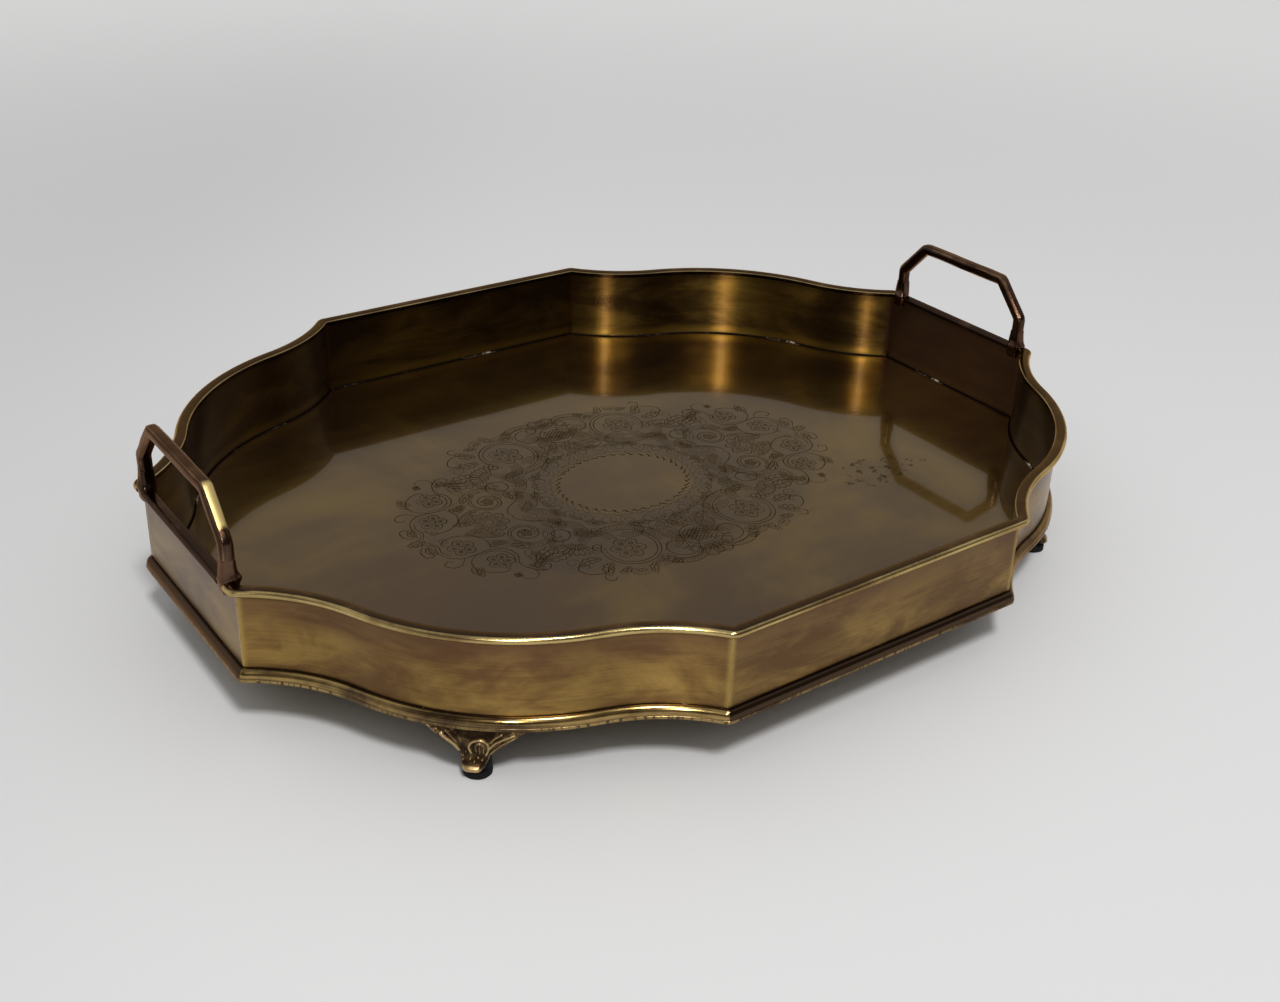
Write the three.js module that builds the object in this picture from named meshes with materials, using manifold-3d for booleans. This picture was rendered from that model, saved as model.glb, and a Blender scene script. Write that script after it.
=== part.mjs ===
// A footed gallery tray in sheet brass: a shaped floor, a vertical gallery wall with a rolled rim,
// a stepped base moulding, two fixed bar handles and four cast feet on rubber pads.
// Millimetres, Z up, X along the length through the handles, origin under the middle of the tray.
import * as THREE from "three";
import Module from "manifold-3d";
import { mergeVertices } from "three/addons/utils/BufferGeometryUtils.js";

const wasm = await Module();
wasm.setup();

// Plan of the gallery wall, measured on its outer face
const halfLength = 187; // from the middle to an end wall
const halfWidth = 149; // from the middle to a side wall
const endHalf = 42.5; // half the straight stretch of an end wall
const sideHalf = 66.5; // half the straight stretch of a side wall
const coveRadius = 72; // hollow curve beside each sharp corner
const coveLean = 0.155; // radians by which the hollow curve first leans into the tray
const bowLean = 0.436; // radians from the chord where the hollow turns into the bow
const coveSteps = 6;
const bowSteps = 14;

// Sheet, wire and joints
const jointGap = 0.3; // solder or brazing gap between two pieces
const sheet = 1.0; // thickness of the gallery sheet
const floorSheet = 1.0; // thickness of the floor
const wallHeight = 31.4; // from the floor to the top of the sheet

// Rim wire, flush with the sheet inside and proud of it outside
const rimProud = 3.5;
const rimHeight = 2.4;
const rimCrown = 0.4; // how far the rim's inner edge drops below its top
const rimChamfer = 0.3; // eased inner edge
const noseSteps = 5;

// Base moulding: a shoulder over a flat band, with a ledge that carries the floor
const mouldProud = 2.6;
const mouldHeight = 4.6;
const bandHeight = 1.5;
const grooveDepth = 0.4;
const ledgeWidth = 5;
const ledgeThick = 0.8;
const shoulderSteps = 4;

// Handle bars
const barWidth = 5;
const barBevel = 1;
const handleHalf = 37; // from the middle to the axis of a leg
const handleTopHalf = 24; // half the straight grip between its bends
const handleRise = 30.4; // from the top of the rim to the top of the grip
const shoulderDrop = 14.5; // from the axis of the grip down to the lower bends
const cheekDrop = 1.8; // how far a leg straddles the sheet

// Feet, each in its own frame: x along the wall, y out of the tray, z up
const footHeight = 17.4;
const wingHalf = 17.3; // half the spread of the wings under the moulding
const wingSweep = 1.65; // how sharply the wings spread from the ankle
const wingSetback = 0.8; // from the moulding's front in to the wing
const wingRound = 0.4; // how far the wing's sides turn back
const kneeRise = 12.5; // height of the knee, the fullest place under the moulding
const kneeSetback = 0.4;
const ankleHalf = 4.5;
const ankleRise = 5; // height at which the wings begin to spread
const ankleProud = 0.9; // how far the hollow of the ankle stands out from the wall's face
const hollowRise = 6.4; // height of that hollow
const toeHalf = 3.7;
const toeRise = 2.3; // height of the toe's fullest place
const toeProud = 2; // how far the toe stands out from the wall's face
const toeTuck = 0.8; // how far the toe's underside draws back
const toeRound = 1.7; // how far the toe's sides turn back
const toeTip = 0.75; // share of the toe's half width lost to its rounded tip
const castThick = 2.6;
const castEdge = 1; // thickness left along the edges
const seatDepth = 4.6; // depth of the flange soldered under the moulding
const seatSharpness = 12; // powers: how suddenly the seat, the edges and the rounding set in
const edgeSharpness = 8;
const roundSharpness = 4;
const fluteRelief = 0.45;
const fluteCount = 3;
const footLevels = 15;
const footSpan = 12; // facets across the front of a foot

// Rubber pads, stepped so that the toe stands on the front of the pad
const padRadius = 4.7;
const padHeight = 7.2;
const padTread = 2.2; // thickness of rubber under the toe
const padCentre = -3; // from the wall's outer face out to the axis of the pad
const padStep = -1.6; // from the wall's outer face out to the step's upright face
const padFacets = 24;

// Levels, each worked out from the piece below it
const toeBottom = padTread + jointGap;
const footTop = toeBottom + footHeight;
const mouldBottom = footTop + jointGap;
const ledgeTop = mouldBottom + ledgeThick;
const floorBottom = ledgeTop + jointGap;
const floorTop = floorBottom + floorSheet;
const wallBottom = ledgeTop + jointGap;
const wallTop = floorTop + wallHeight;
const rimBottom = wallTop + jointGap;
const rimTop = rimBottom + rimHeight;
const gripAxis = rimTop + handleRise - barWidth / 2;
const bendAxis = gripAxis - shoulderDrop;
const legBottom = wallTop - cheekDrop;

// Finishes
const finishes = {
  gallery: new THREE.MeshStandardMaterial({ color: 0x8a6a34, roughness: 0.38, metalness: 1 }),
  floor: new THREE.MeshStandardMaterial({ color: 0x7a6040, roughness: 0.22, metalness: 1 }),
  wire: new THREE.MeshStandardMaterial({ color: 0x9c7a3a, roughness: 0.3, metalness: 1 }),
  handle: new THREE.MeshStandardMaterial({ color: 0x8c6240, roughness: 0.32, metalness: 1 }),
  casting: new THREE.MeshStandardMaterial({ color: 0x80623a, roughness: 0.45, metalness: 1 }),
  rubber: new THREE.MeshStandardMaterial({ color: 0x14141a, roughness: 0.85, metalness: 0 }),
};

// A closed solid through rings of equal length, capped with the outlines given for its two ends
function loft(rings, startOutline, endOutline) {
  const count = rings[0].length;
  const positions = rings.flat().flatMap((p) => [p.x, p.y, p.z]);
  const triangles = [];
  for (let r = 0; r + 1 < rings.length; r++) {
    for (let i = 0; i < count; i++) {
      const j = (i + 1) % count;
      const [a, b] = [r * count + i, r * count + j];
      triangles.push(a, b, b + count, a, b + count, a + count);
    }
  }
  const last = (rings.length - 1) * count;
  for (const [a, b, c] of capFaces(startOutline)) triangles.push(c, b, a);
  for (const [a, b, c] of capFaces(endOutline)) triangles.push(last + a, last + b, last + c);
  const geometry = new THREE.BufferGeometry();
  geometry.setAttribute("position", new THREE.Float32BufferAttribute(positions, 3));
  geometry.setIndex(triangles);
  return facingOut(geometry);
}

// Triangles over a flat outline, wound the same way round as the outline itself
function capFaces(outline) {
  const faces = THREE.ShapeUtils.triangulateShape(outline, []);
  const turnsLeft = THREE.ShapeUtils.area(outline) > 0;
  const sameTurn = ([a, b, c]) => {
    const [p, q, r] = [outline[a], outline[b], outline[c]];
    return (q.x - p.x) * (r.y - p.y) - (q.y - p.y) * (r.x - p.x) > 0 === turnsLeft;
  };
  return faces.map((face) => (sameTurn(face) ? face : [face[2], face[1], face[0]]));
}

// Turns the faces round where the solid came out inside out
function facingOut(geometry) {
  const p = geometry.attributes.position;
  const index = geometry.index.array;
  const corner = [new THREE.Vector3(), new THREE.Vector3(), new THREE.Vector3()];
  let volume = 0;
  for (let i = 0; i < index.length; i += 3) {
    corner.forEach((v, k) => v.fromBufferAttribute(p, index[i + k]));
    volume += corner[0].dot(corner[1].clone().cross(corner[2])) / 6;
  }
  if (volume < 0) {
    for (let i = 0; i < index.length; i += 3) {
      [index[i + 1], index[i + 2]] = [index[i + 2], index[i + 1]];
    }
  }
  geometry.computeVertexNormals();
  return geometry;
}

function solidOf(geometry) {
  const bare = geometry.index ? geometry.toNonIndexed() : geometry.clone();
  bare.deleteAttribute("normal");
  if (bare.attributes.uv) bare.deleteAttribute("uv");
  const merged = mergeVertices(bare, 1e-4);
  return new wasm.Manifold(
    new wasm.Mesh({
      numProp: 3,
      vertProperties: merged.attributes.position.array,
      triVerts: new Uint32Array(merged.index.array),
    }),
  );
}

function cut(geometry, tool) {
  const mesh = solidOf(geometry).subtract(solidOf(tool)).getMesh();
  const result = new THREE.BufferGeometry();
  result.setAttribute("position", new THREE.Float32BufferAttribute(mesh.vertProperties, 3));
  result.setIndex([...mesh.triVerts]);
  result.computeVertexNormals();
  return result;
}

// A station is a place on the wall's outer face and the way out of the tray there
const station = (x, y, outX, outY) => ({ x, y, outX, outY });

// The curved stretch of one corner, from the end wall round to the side wall: cove, bow, cove
const chord = new THREE.Vector2(sideHalf - halfLength, halfWidth - endHalf);
const chordAngle = chord.angle();
const coveReach = coveRadius * (Math.sin(bowLean) + Math.sin(coveLean));
const bowRadius = (chord.length() / 2 - coveReach) / Math.sin(bowLean);

function arcStations(from, heading, turn, radius, steps) {
  const side = Math.sign(turn); // +1 turns left, -1 turns right
  const centreX = from.x - side * radius * Math.sin(heading);
  const centreY = from.y + side * radius * Math.cos(heading);
  return Array.from({ length: steps + 1 }, (_, i) => {
    const angle = heading + (turn * i) / steps;
    const x = centreX + side * radius * Math.sin(angle);
    const y = centreY - side * radius * Math.cos(angle);
    return station(x, y, Math.sin(angle), -Math.cos(angle));
  });
}

const coveTurn = coveLean + bowLean;
const firstCove = arcStations(
  { x: halfLength, y: endHalf }, chordAngle + coveLean, -coveTurn, coveRadius, coveSteps,
);
const bow = arcStations(firstCove.at(-1), chordAngle - bowLean, 2 * bowLean, bowRadius, bowSteps);
const lastCove = arcStations(bow.at(-1), chordAngle + bowLean, -coveTurn, coveRadius, coveSteps);
const bowedRun = [...firstCove, ...bow.slice(1), ...lastCove.slice(1)];
const bowMiddle = bow[bowSteps / 2];

const endOut = { outX: 1, outY: 0 };
const sideOut = { outX: 0, outY: 1 };

// The mitre between two stretches: its direction, and how far a piece stops short of it
function mitre(one, other) {
  const dot = one.outX * other.outX + one.outY * other.outY;
  return {
    outX: (one.outX + other.outX) / (1 + dot),
    outY: (one.outY + other.outY) / (1 + dot),
    back: jointGap / 2 / Math.sqrt((1 + dot) / 2),
  };
}

const direction = ({ outX, outY }) => ({ outX, outY });

// A stretch whose two ends stop at the mitres with its neighbours
function mitred(run, before, after) {
  const stations = run.map((s) => ({ ...s }));
  const trim = (s, neighbour, travel) => {
    const m = mitre(s, neighbour);
    const along = { x: -s.outY * travel, y: s.outX * travel };
    s.x += along.x * m.back;
    s.y += along.y * m.back;
    [s.outX, s.outY] = [m.outX, m.outY];
  };
  if (before) trim(stations[0], before, 1);
  if (after) trim(stations.at(-1), after, -1);
  return stations;
}

const endRun = [station(halfLength, -endHalf, 1, 0), station(halfLength, endHalf, 1, 0)];
const sideRun = [station(sideHalf, halfWidth, 0, 1), station(-sideHalf, halfWidth, 0, 1)];
const mirroredOut = (s, x, y) => ({ outX: s.outX * x, outY: s.outY * y });
const endStretch = mitred(endRun, mirroredOut(bowedRun[0], 1, -1), bowedRun[0]);
const sideStretch = mitred(sideRun, bowedRun.at(-1), mirroredOut(bowedRun.at(-1), -1, 1));
const bowedStretch = mitred(bowedRun, endOut, sideOut);

// The bowed stretch out to the mitres themselves
const bowedToMitres = bowedRun.map((s, i) => {
  if (i === 0) return { ...s, ...direction(mitre(endOut, s)) };
  if (i === bowedRun.length - 1) return { ...s, ...direction(mitre(s, sideOut)) };
  return s;
});

// The rim turns each end corner and returns to the handle's leg
const legFace = handleHalf + barWidth / 2 + jointGap;
const rimReturn = station(halfLength, legFace, 1, 0);
const rimBowed = [rimReturn, bowedToMitres[0], ...mitred(bowedRun, null, sideOut).slice(1)];
const rimBetweenLegs = handleHalf - barWidth / 2 - jointGap;
const rimEnd = [
  station(halfLength, -rimBetweenLegs, 1, 0),
  station(halfLength, rimBetweenLegs, 1, 0),
];

// Sweeps a section, whose x is the distance out from the wall's face and y the height
function sweep(run, section, flipX, flipY) {
  const rings = run.map((s) =>
    section.map(
      (q) =>
        new THREE.Vector3(flipX * (s.x + s.outX * q.x), flipY * (s.y + s.outY * q.x), q.y),
    ),
  );
  return loft(rings, section, section);
}

// Sections
const wallSection = [
  new THREE.Vector2(-sheet, wallBottom),
  new THREE.Vector2(0, wallBottom),
  new THREE.Vector2(0, wallTop),
  new THREE.Vector2(-sheet, wallTop),
];

function rimSection() {
  const nose = rimHeight / 2;
  const outline = new THREE.Path();
  outline.moveTo(-sheet, rimBottom);
  outline.lineTo(rimProud - nose, rimBottom);
  outline.absarc(rimProud - nose, rimBottom + nose, nose, -Math.PI / 2, Math.PI / 2, false);
  outline.quadraticCurveTo(0, rimTop, rimChamfer - sheet, rimTop - rimCrown);
  outline.lineTo(-sheet, rimTop - rimCrown - rimChamfer);
  return outline.getPoints(noseSteps).filter(distinct);
}

function mouldSection() {
  const bandTop = mouldBottom + bandHeight;
  const grooveTop = bandTop + grooveDepth;
  const shoulderTop = mouldBottom + mouldHeight;
  const shoulderProud = mouldProud - grooveDepth / 2;
  const outline = new THREE.Path();
  outline.moveTo(-ledgeWidth, mouldBottom);
  outline.lineTo(mouldProud, mouldBottom);
  outline.lineTo(mouldProud, bandTop);
  outline.lineTo(mouldProud - grooveDepth, grooveTop);
  outline.lineTo(shoulderProud, grooveTop + grooveDepth);
  outline.quadraticCurveTo(shoulderProud, shoulderTop, jointGap, shoulderTop);
  outline.lineTo(jointGap, ledgeTop);
  outline.lineTo(-ledgeWidth, ledgeTop);
  return outline.getPoints(shoulderSteps).filter(distinct);
}

function distinct(point, i, all) {
  const before = all[(i + all.length - 1) % all.length];
  return point.distanceTo(before) > 1e-6;
}

// The floor fills the wall's inner face and rests on the ledge of the moulding
function floorPlate() {
  const inset = sheet + jointGap;
  const edge = bowedToMitres.map((s) => ({ x: s.x - s.outX * inset, y: s.y - s.outY * inset }));
  const corner = (x, y, reverse) => {
    const points = edge.map((p) => new THREE.Vector2(x * p.x, y * p.y));
    return reverse ? points.reverse() : points;
  };
  const outline = [
    ...corner(1, 1, false),
    ...corner(-1, 1, true),
    ...corner(-1, -1, false),
    ...corner(1, -1, true),
  ];
  const geometry = new THREE.ExtrudeGeometry(new THREE.Shape(outline), {
    depth: floorSheet,
    bevelEnabled: false,
  });
  geometry.translate(0, 0, floorBottom);
  return geometry;
}

// A handle: a bevelled square bar mitred at four bends, its legs slotted over the sheet
function handleBar(flipX) {
  const bends = [
    new THREE.Vector2(-handleHalf, legBottom),
    new THREE.Vector2(-handleHalf, bendAxis),
    new THREE.Vector2(-handleTopHalf, gripAxis),
    new THREE.Vector2(handleTopHalf, gripAxis),
    new THREE.Vector2(handleHalf, bendAxis),
    new THREE.Vector2(handleHalf, legBottom),
  ];
  const half = barWidth / 2;
  const flat = half - barBevel;
  const section = [
    new THREE.Vector2(-half, -flat),
    new THREE.Vector2(-flat, -half),
    new THREE.Vector2(flat, -half),
    new THREE.Vector2(half, -flat),
    new THREE.Vector2(half, flat),
    new THREE.Vector2(flat, half),
    new THREE.Vector2(-flat, half),
    new THREE.Vector2(-half, flat),
  ];
  const rings = bends.map((bend, i) => {
    const into = bends[i].clone().sub(bends[Math.max(i - 1, 0)]).normalize();
    const out = bends[Math.min(i + 1, bends.length - 1)].clone().sub(bend).normalize();
    const normalIn = new THREE.Vector2(-into.y, into.x);
    const normalOut = new THREE.Vector2(-out.y, out.x);
    if (i === 0) normalIn.copy(normalOut);
    if (i === bends.length - 1) normalOut.copy(normalIn);
    const m = normalIn.clone().add(normalOut).divideScalar(1 + normalIn.dot(normalOut));
    return section.map(
      (q) => new THREE.Vector3(flipX * (halfLength + q.x), bend.x + m.x * q.y, bend.y + m.y * q.y),
    );
  });
  const slotWidth = sheet + 2 * jointGap;
  const slotDepth = cheekDrop + jointGap;
  const slot = new THREE.BoxGeometry(slotWidth, 4 * halfWidth, 2 * slotDepth);
  slot.translate(flipX * (halfLength - sheet / 2), 0, legBottom);
  return cut(loft(rings, section, section), slot);
}

// Side view of a foot's front: toe, ankle and knee, as distance out and height
const footProfile = new THREE.SplineCurve([
  new THREE.Vector2(toeProud - toeTuck, 0),
  new THREE.Vector2(toeProud, toeRise),
  new THREE.Vector2(ankleProud, hollowRise),
  new THREE.Vector2(mouldProud - kneeSetback, kneeRise),
  new THREE.Vector2(mouldProud - wingSetback, footHeight),
]);

// Half the width of a foot at a height above the toe's underside
function footWidth(height) {
  if (height >= ankleRise) {
    const rise = (height - ankleRise) / (footHeight - ankleRise);
    return ankleHalf + (wingHalf - ankleHalf) * rise ** wingSweep;
  }
  const drop = 1 - height / ankleRise;
  const taper = ankleHalf + (toeHalf - ankleHalf) * Math.min(1, 2 * drop);
  return taper * Math.sqrt(1 - (toeTip * Math.max(0, 2 * drop - 1)) ** 2);
}

// One cast foot: flutes run up the front and spread with the wings, the back is hollow
function footCasting() {
  const bend = bowRadius + mouldProud;
  const levels = footProfile.getPoints(footLevels - 1);
  const outlines = levels.map(({ x: front, y: height }) => {
    const half = footWidth(height);
    const spread = height / footHeight;
    const relief = fluteRelief * Math.sin(Math.PI * spread);
    const round = toeRound * (1 - spread) ** 2 + wingRound;
    const depth = castThick + (seatDepth - castThick) * spread ** seatSharpness;
    const follow = (x) => (x * x) / (2 * bend);
    const outline = [];
    for (let i = 0; i <= footSpan; i++) {
      const across = (2 * i) / footSpan - 1;
      const flute = relief * Math.cos(fluteCount * Math.PI * across);
      const x = half * across;
      const back = round * across ** roundSharpness;
      outline.push(new THREE.Vector2(x, front + flute - back - follow(x)));
    }
    for (let i = footSpan; i >= 0; i--) {
      const across = (2 * i) / footSpan - 1;
      const x = half * across;
      const back = depth + (round + castEdge - depth) * across ** edgeSharpness;
      outline.push(new THREE.Vector2(x, front - back - follow(x)));
    }
    return outline;
  });
  const rings = outlines.map((outline, i) =>
    outline.map((q) => new THREE.Vector3(q.x, q.y, toeBottom + levels[i].y)),
  );
  const behind = new THREE.BoxGeometry(4 * ankleHalf, 2 * seatDepth, 2 * padHeight);
  behind.translate(0, padStep + jointGap - seatDepth, jointGap);
  return cut(loft(rings, outlines[0], outlines.at(-1)), behind);
}

// A rubber pad: a round block with a step cut out of its front for the toe
function footPad() {
  const outline = [
    new THREE.Vector2(0, 0),
    new THREE.Vector2(padRadius, 0),
    new THREE.Vector2(padRadius, padHeight),
    new THREE.Vector2(0, padHeight),
  ];
  const block = new THREE.LatheGeometry(outline, padFacets).rotateX(Math.PI / 2);
  block.translate(0, padCentre, 0);
  const step = new THREE.BoxGeometry(4 * padRadius, 4 * padRadius, 2 * padHeight);
  step.translate(0, padStep + 2 * padRadius, padTread + padHeight);
  return cut(block, step);
}

const tray = new THREE.Group();

function add(name, geometry, finish, parent = tray) {
  const mesh = new THREE.Mesh(geometry, finish);
  mesh.name = name;
  parent.add(mesh);
}

add("floor_plate", floorPlate(), finishes.floor);

const ends = [["left", -1], ["right", 1]];
const sides = [["front", -1], ["back", 1]];
const rim = rimSection();
const mould = mouldSection();

for (const [end, x] of ends) {
  add(`end_wall_${end}`, sweep(endStretch, wallSection, x, 1), finishes.gallery);
  add(`rim_end_${end}`, sweep(rimEnd, rim, x, 1), finishes.wire);
  add(`moulding_end_${end}`, sweep(endStretch, mould, x, 1), finishes.wire);
  add(`handle_${end}`, handleBar(x), finishes.handle);
}

for (const [side, y] of sides) {
  add(`side_wall_${side}`, sweep(sideStretch, wallSection, 1, y), finishes.gallery);
  add(`rim_side_${side}`, sweep(sideStretch, rim, 1, y), finishes.wire);
  add(`moulding_side_${side}`, sweep(sideStretch, mould, 1, y), finishes.wire);
}

for (const [side, y] of sides) {
  for (const [end, x] of ends) {
    const place = `${side}_${end}`;
    add(`bowed_wall_${place}`, sweep(bowedStretch, wallSection, x, y), finishes.gallery);
    add(`rim_bowed_${place}`, sweep(rimBowed, rim, x, y), finishes.wire);
    add(`moulding_bowed_${place}`, sweep(bowedStretch, mould, x, y), finishes.wire);
    const corner = new THREE.Group();
    corner.position.set(x * bowMiddle.x, y * bowMiddle.y, 0);
    corner.rotation.z = Math.atan2(y * bowMiddle.outY, x * bowMiddle.outX) - Math.PI / 2;
    tray.add(corner);
    add(`foot_${place}`, footCasting(), finishes.casting, corner);
    add(`foot_pad_${place}`, footPad(), finishes.rubber, corner);
  }
}

export default tray;
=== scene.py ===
import math

import bmesh
import bpy
import numpy as np
from mathutils import Matrix, Vector, noise


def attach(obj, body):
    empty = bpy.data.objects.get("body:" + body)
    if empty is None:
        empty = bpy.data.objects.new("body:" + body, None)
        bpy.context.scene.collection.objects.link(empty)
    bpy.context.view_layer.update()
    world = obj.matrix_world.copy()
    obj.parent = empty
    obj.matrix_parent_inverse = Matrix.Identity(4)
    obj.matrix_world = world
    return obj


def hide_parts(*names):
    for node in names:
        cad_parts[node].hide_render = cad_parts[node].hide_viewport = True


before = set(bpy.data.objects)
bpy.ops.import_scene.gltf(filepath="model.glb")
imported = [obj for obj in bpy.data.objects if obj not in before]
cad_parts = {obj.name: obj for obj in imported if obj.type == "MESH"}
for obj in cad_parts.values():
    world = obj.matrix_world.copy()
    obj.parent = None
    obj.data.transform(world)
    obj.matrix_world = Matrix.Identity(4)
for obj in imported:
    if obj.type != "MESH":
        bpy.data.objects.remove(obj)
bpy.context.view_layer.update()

# A footed gallery tray in antique brass. Lengths are in millimetres until a mesh is made,
# Z is up and X runs along the tray through its handles.
mm = 0.001
scene = bpy.context.scene
ends = (("left", -1), ("right", 1))
sides = (("front", -1), ("back", 1))
corners = [(f"{side}_{end}", x, y) for side, y in sides for end, x in ends]

# the lengths of the outline: kind, place and flips of the first quarter's run
lengths = [("end", end, (x, 1)) for end, x in ends]
for side, y in sides:
    lengths.append(("side", side, (1, y)))
    lengths += [("bowed", f"{side}_{end}", (x, y)) for end, x in ends]


# Materials: a small way to write shader sums as Python. Places inside a material are in metres.

class Reading:  # an output socket, on which sums write their own Math nodes
    def __init__(self, finish, socket):
        self.finish = finish
        self.socket = socket

    def sum(self, operation, first, second=0.0):
        return self.finish.node("Math", {"operation": operation}, {0: first, 1: second})

    def __add__(self, other):
        return self.sum("ADD", self, other)

    def __radd__(self, other):
        return self.sum("ADD", other, self)

    def __sub__(self, other):
        return self.sum("SUBTRACT", self, other)

    def __rsub__(self, other):
        return self.sum("SUBTRACT", other, self)

    def __mul__(self, other):
        return self.sum("MULTIPLY", self, other)

    def __rmul__(self, other):
        return self.sum("MULTIPLY", other, self)

    def most(self, other):
        return self.sum("MAXIMUM", self, other)

    def ramp(self, low, high):  # 0 at low, 1 at high, smooth between, also with low above high
        kind = {"interpolation_type": "SMOOTHSTEP", "clamp": True}
        if low < high:
            return self.finish.node("MapRange", kind, {0: self, 1: low, 2: high})
        return 1 - self.ramp(high, low)


class Finish:  # a material or a world and the nodes in it
    def __init__(self, holder):
        self.holder = holder
        holder.use_nodes = True
        self.tree = holder.node_tree
        self.tree.nodes.clear()

    @property
    def object(self):
        return self.node("TexCoord", out="Object")

    @property
    def lay(self):
        return self.node("Attribute", {"attribute_name": "lay"}, out="Vector")

    def feed(self, socket, value):
        if isinstance(value, Reading):
            self.tree.links.new(value.socket, socket)
        elif socket.type == "RGBA" and len(value) == 3:
            socket.default_value = (*value, 1)
        else:
            socket.default_value = value

    def node(self, kind, settings=None, sockets=None, out=0):
        made = self.tree.nodes.new("ShaderNode" + kind)
        for key, value in (settings or {}).items():
            setattr(made, key, value)
        for key, value in (sockets or {}).items():
            self.feed(made.inputs[key], value)
        return Reading(self, made.outputs[out]) if made.outputs else None

    def axis(self, vector, name):
        return self.node("SeparateXYZ", None, {0: vector}, name)

    def vector(self, x, y, z):
        return self.node("CombineXYZ", None, {0: x, 1: y, 2: z})

    def scaled(self, vector, factors):
        return self.node("VectorMath", {"operation": "MULTIPLY"}, {0: vector, 1: factors})

    def dot(self, vector, other):
        return self.node("VectorMath", {"operation": "DOT_PRODUCT"}, {0: vector, 1: other}, "Value")

    def clouds(self, vector, scale, detail=4.0, rough=0.55, warp=0.0):
        sockets = {"Vector": vector, "Scale": scale, "Detail": detail, "Roughness": rough,
                   "Distortion": warp}
        return self.node("TexNoise", None, sockets)

    def mix(self, factor, one, other):
        return self.node("Mix", {"data_type": "RGBA"}, {0: factor, 6: one, 7: other}, 2)

    def bump(self, height, distance, strength=1.0, under=None):
        sockets = {"Height": height, "Distance": distance, "Strength": strength}
        if under:
            sockets["Normal"] = under
        return self.node("Bump", None, sockets)

    def shader(self, **sockets):
        named = {key.replace("_", " "): value for key, value in sockets.items()}
        return self.node("BsdfPrincipled", None, named)

    def surface(self, **sockets):
        self.node("OutputMaterial", None, {"Surface": self.shader(**sockets)})
        return self.holder


def finish(name):
    return Finish(bpy.data.materials.new(name))


# Meshes

def makePiece(name, points, faces, material, standsFor=(), lay=None, crease=35):
    mesh = bpy.data.meshes.new(name)
    mesh.from_pydata([(x * mm, y * mm, z * mm) for x, y, z in points], [], faces)
    if lay is not None:
        held = mesh.attributes.new("lay", "FLOAT_VECTOR", "POINT")
        held.data.foreach_set("vector", np.array(lay, float).ravel() * mm)
    shape = bmesh.new()
    shape.from_mesh(mesh)
    bmesh.ops.recalc_face_normals(shape, faces=shape.faces)
    shape.to_mesh(mesh)
    shape.free()
    mesh.shade_smooth()
    mesh.set_sharp_from_angle(angle=math.radians(crease))
    mesh.materials.append(material)
    piece = bpy.data.objects.new(name, mesh)
    scene.collection.objects.link(piece)
    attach(piece, "root")
    if standsFor:
        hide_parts(*standsFor)
    return piece


def ringFaces(rings, count):
    faces = []
    for r in range(rings - 1):
        for i in range(count):
            j = (i + 1) % count
            faces.append((r * count + i, r * count + j, (r + 1) * count + j, (r + 1) * count + i))
    faces.append(tuple(range(count)))
    faces.append(tuple((rings - 1) * count + i for i in range(count)))
    return faces


# The plan of the wall's outer face, as stations: place and the way out of the tray

plan = {
    "halfLength": 187,
    "halfWidth": 149,
    "endHalf": 42.5,
    "sideHalf": 66.5,
    "coveRadius": 72,
    "coveLean": 0.155,
    "bowLean": 0.436,
    "coveSteps": 14,
    "bowSteps": 32,
    "straightSteps": 12,
    "softCorner": 1.5,
}


def arcStations(start, heading, turn, radius, steps):
    side = math.copysign(1, turn)
    centreX = start[0] - side * radius * math.sin(heading)
    centreY = start[1] + side * radius * math.cos(heading)
    stations = []
    for i in range(steps + 1):
        angle = heading + turn * i / steps
        x = centreX + side * radius * math.sin(angle)
        y = centreY - side * radius * math.cos(angle)
        stations.append((x, y, math.sin(angle), -math.cos(angle)))
    return stations


def straightStations(start, end, out):
    steps = plan["straightSteps"]
    return [
        (start[0] + (end[0] - start[0]) * i / steps, start[1] + (end[1] - start[1]) * i / steps, *out)
        for i in range(steps + 1)
    ]


def mitre(one, other):
    dot = one[0] * other[0] + one[1] * other[1]
    return ((one[0] + other[0]) / (1 + dot), (one[1] + other[1]) / (1 + dot))


def withEnds(run, first=None, last=None):
    run = list(run)
    if first:
        run[0] = (*run[0][:2], *first)
    if last:
        run[-1] = (*run[-1][:2], *last)
    return run


chord = (plan["sideHalf"] - plan["halfLength"], plan["halfWidth"] - plan["endHalf"])
chordAngle = math.atan2(chord[1], chord[0])
leanReach = math.sin(plan["bowLean"]) + math.sin(plan["coveLean"])
bowRadius = (math.hypot(*chord) / 2 - plan["coveRadius"] * leanReach) / math.sin(plan["bowLean"])
coveTurn = plan["coveLean"] + plan["bowLean"]
firstCove = arcStations(
    (plan["halfLength"], plan["endHalf"]), chordAngle + plan["coveLean"], -coveTurn,
    plan["coveRadius"], plan["coveSteps"])
bow = arcStations(
    firstCove[-1], chordAngle - plan["bowLean"], 2 * plan["bowLean"], bowRadius, plan["bowSteps"])
lastCove = arcStations(
    bow[-1], chordAngle + plan["bowLean"], -coveTurn, plan["coveRadius"], plan["coveSteps"])
cornerRun = firstCove + bow[1:] + lastCove[1:]
bowMiddle = bow[plan["bowSteps"] // 2]

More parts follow.
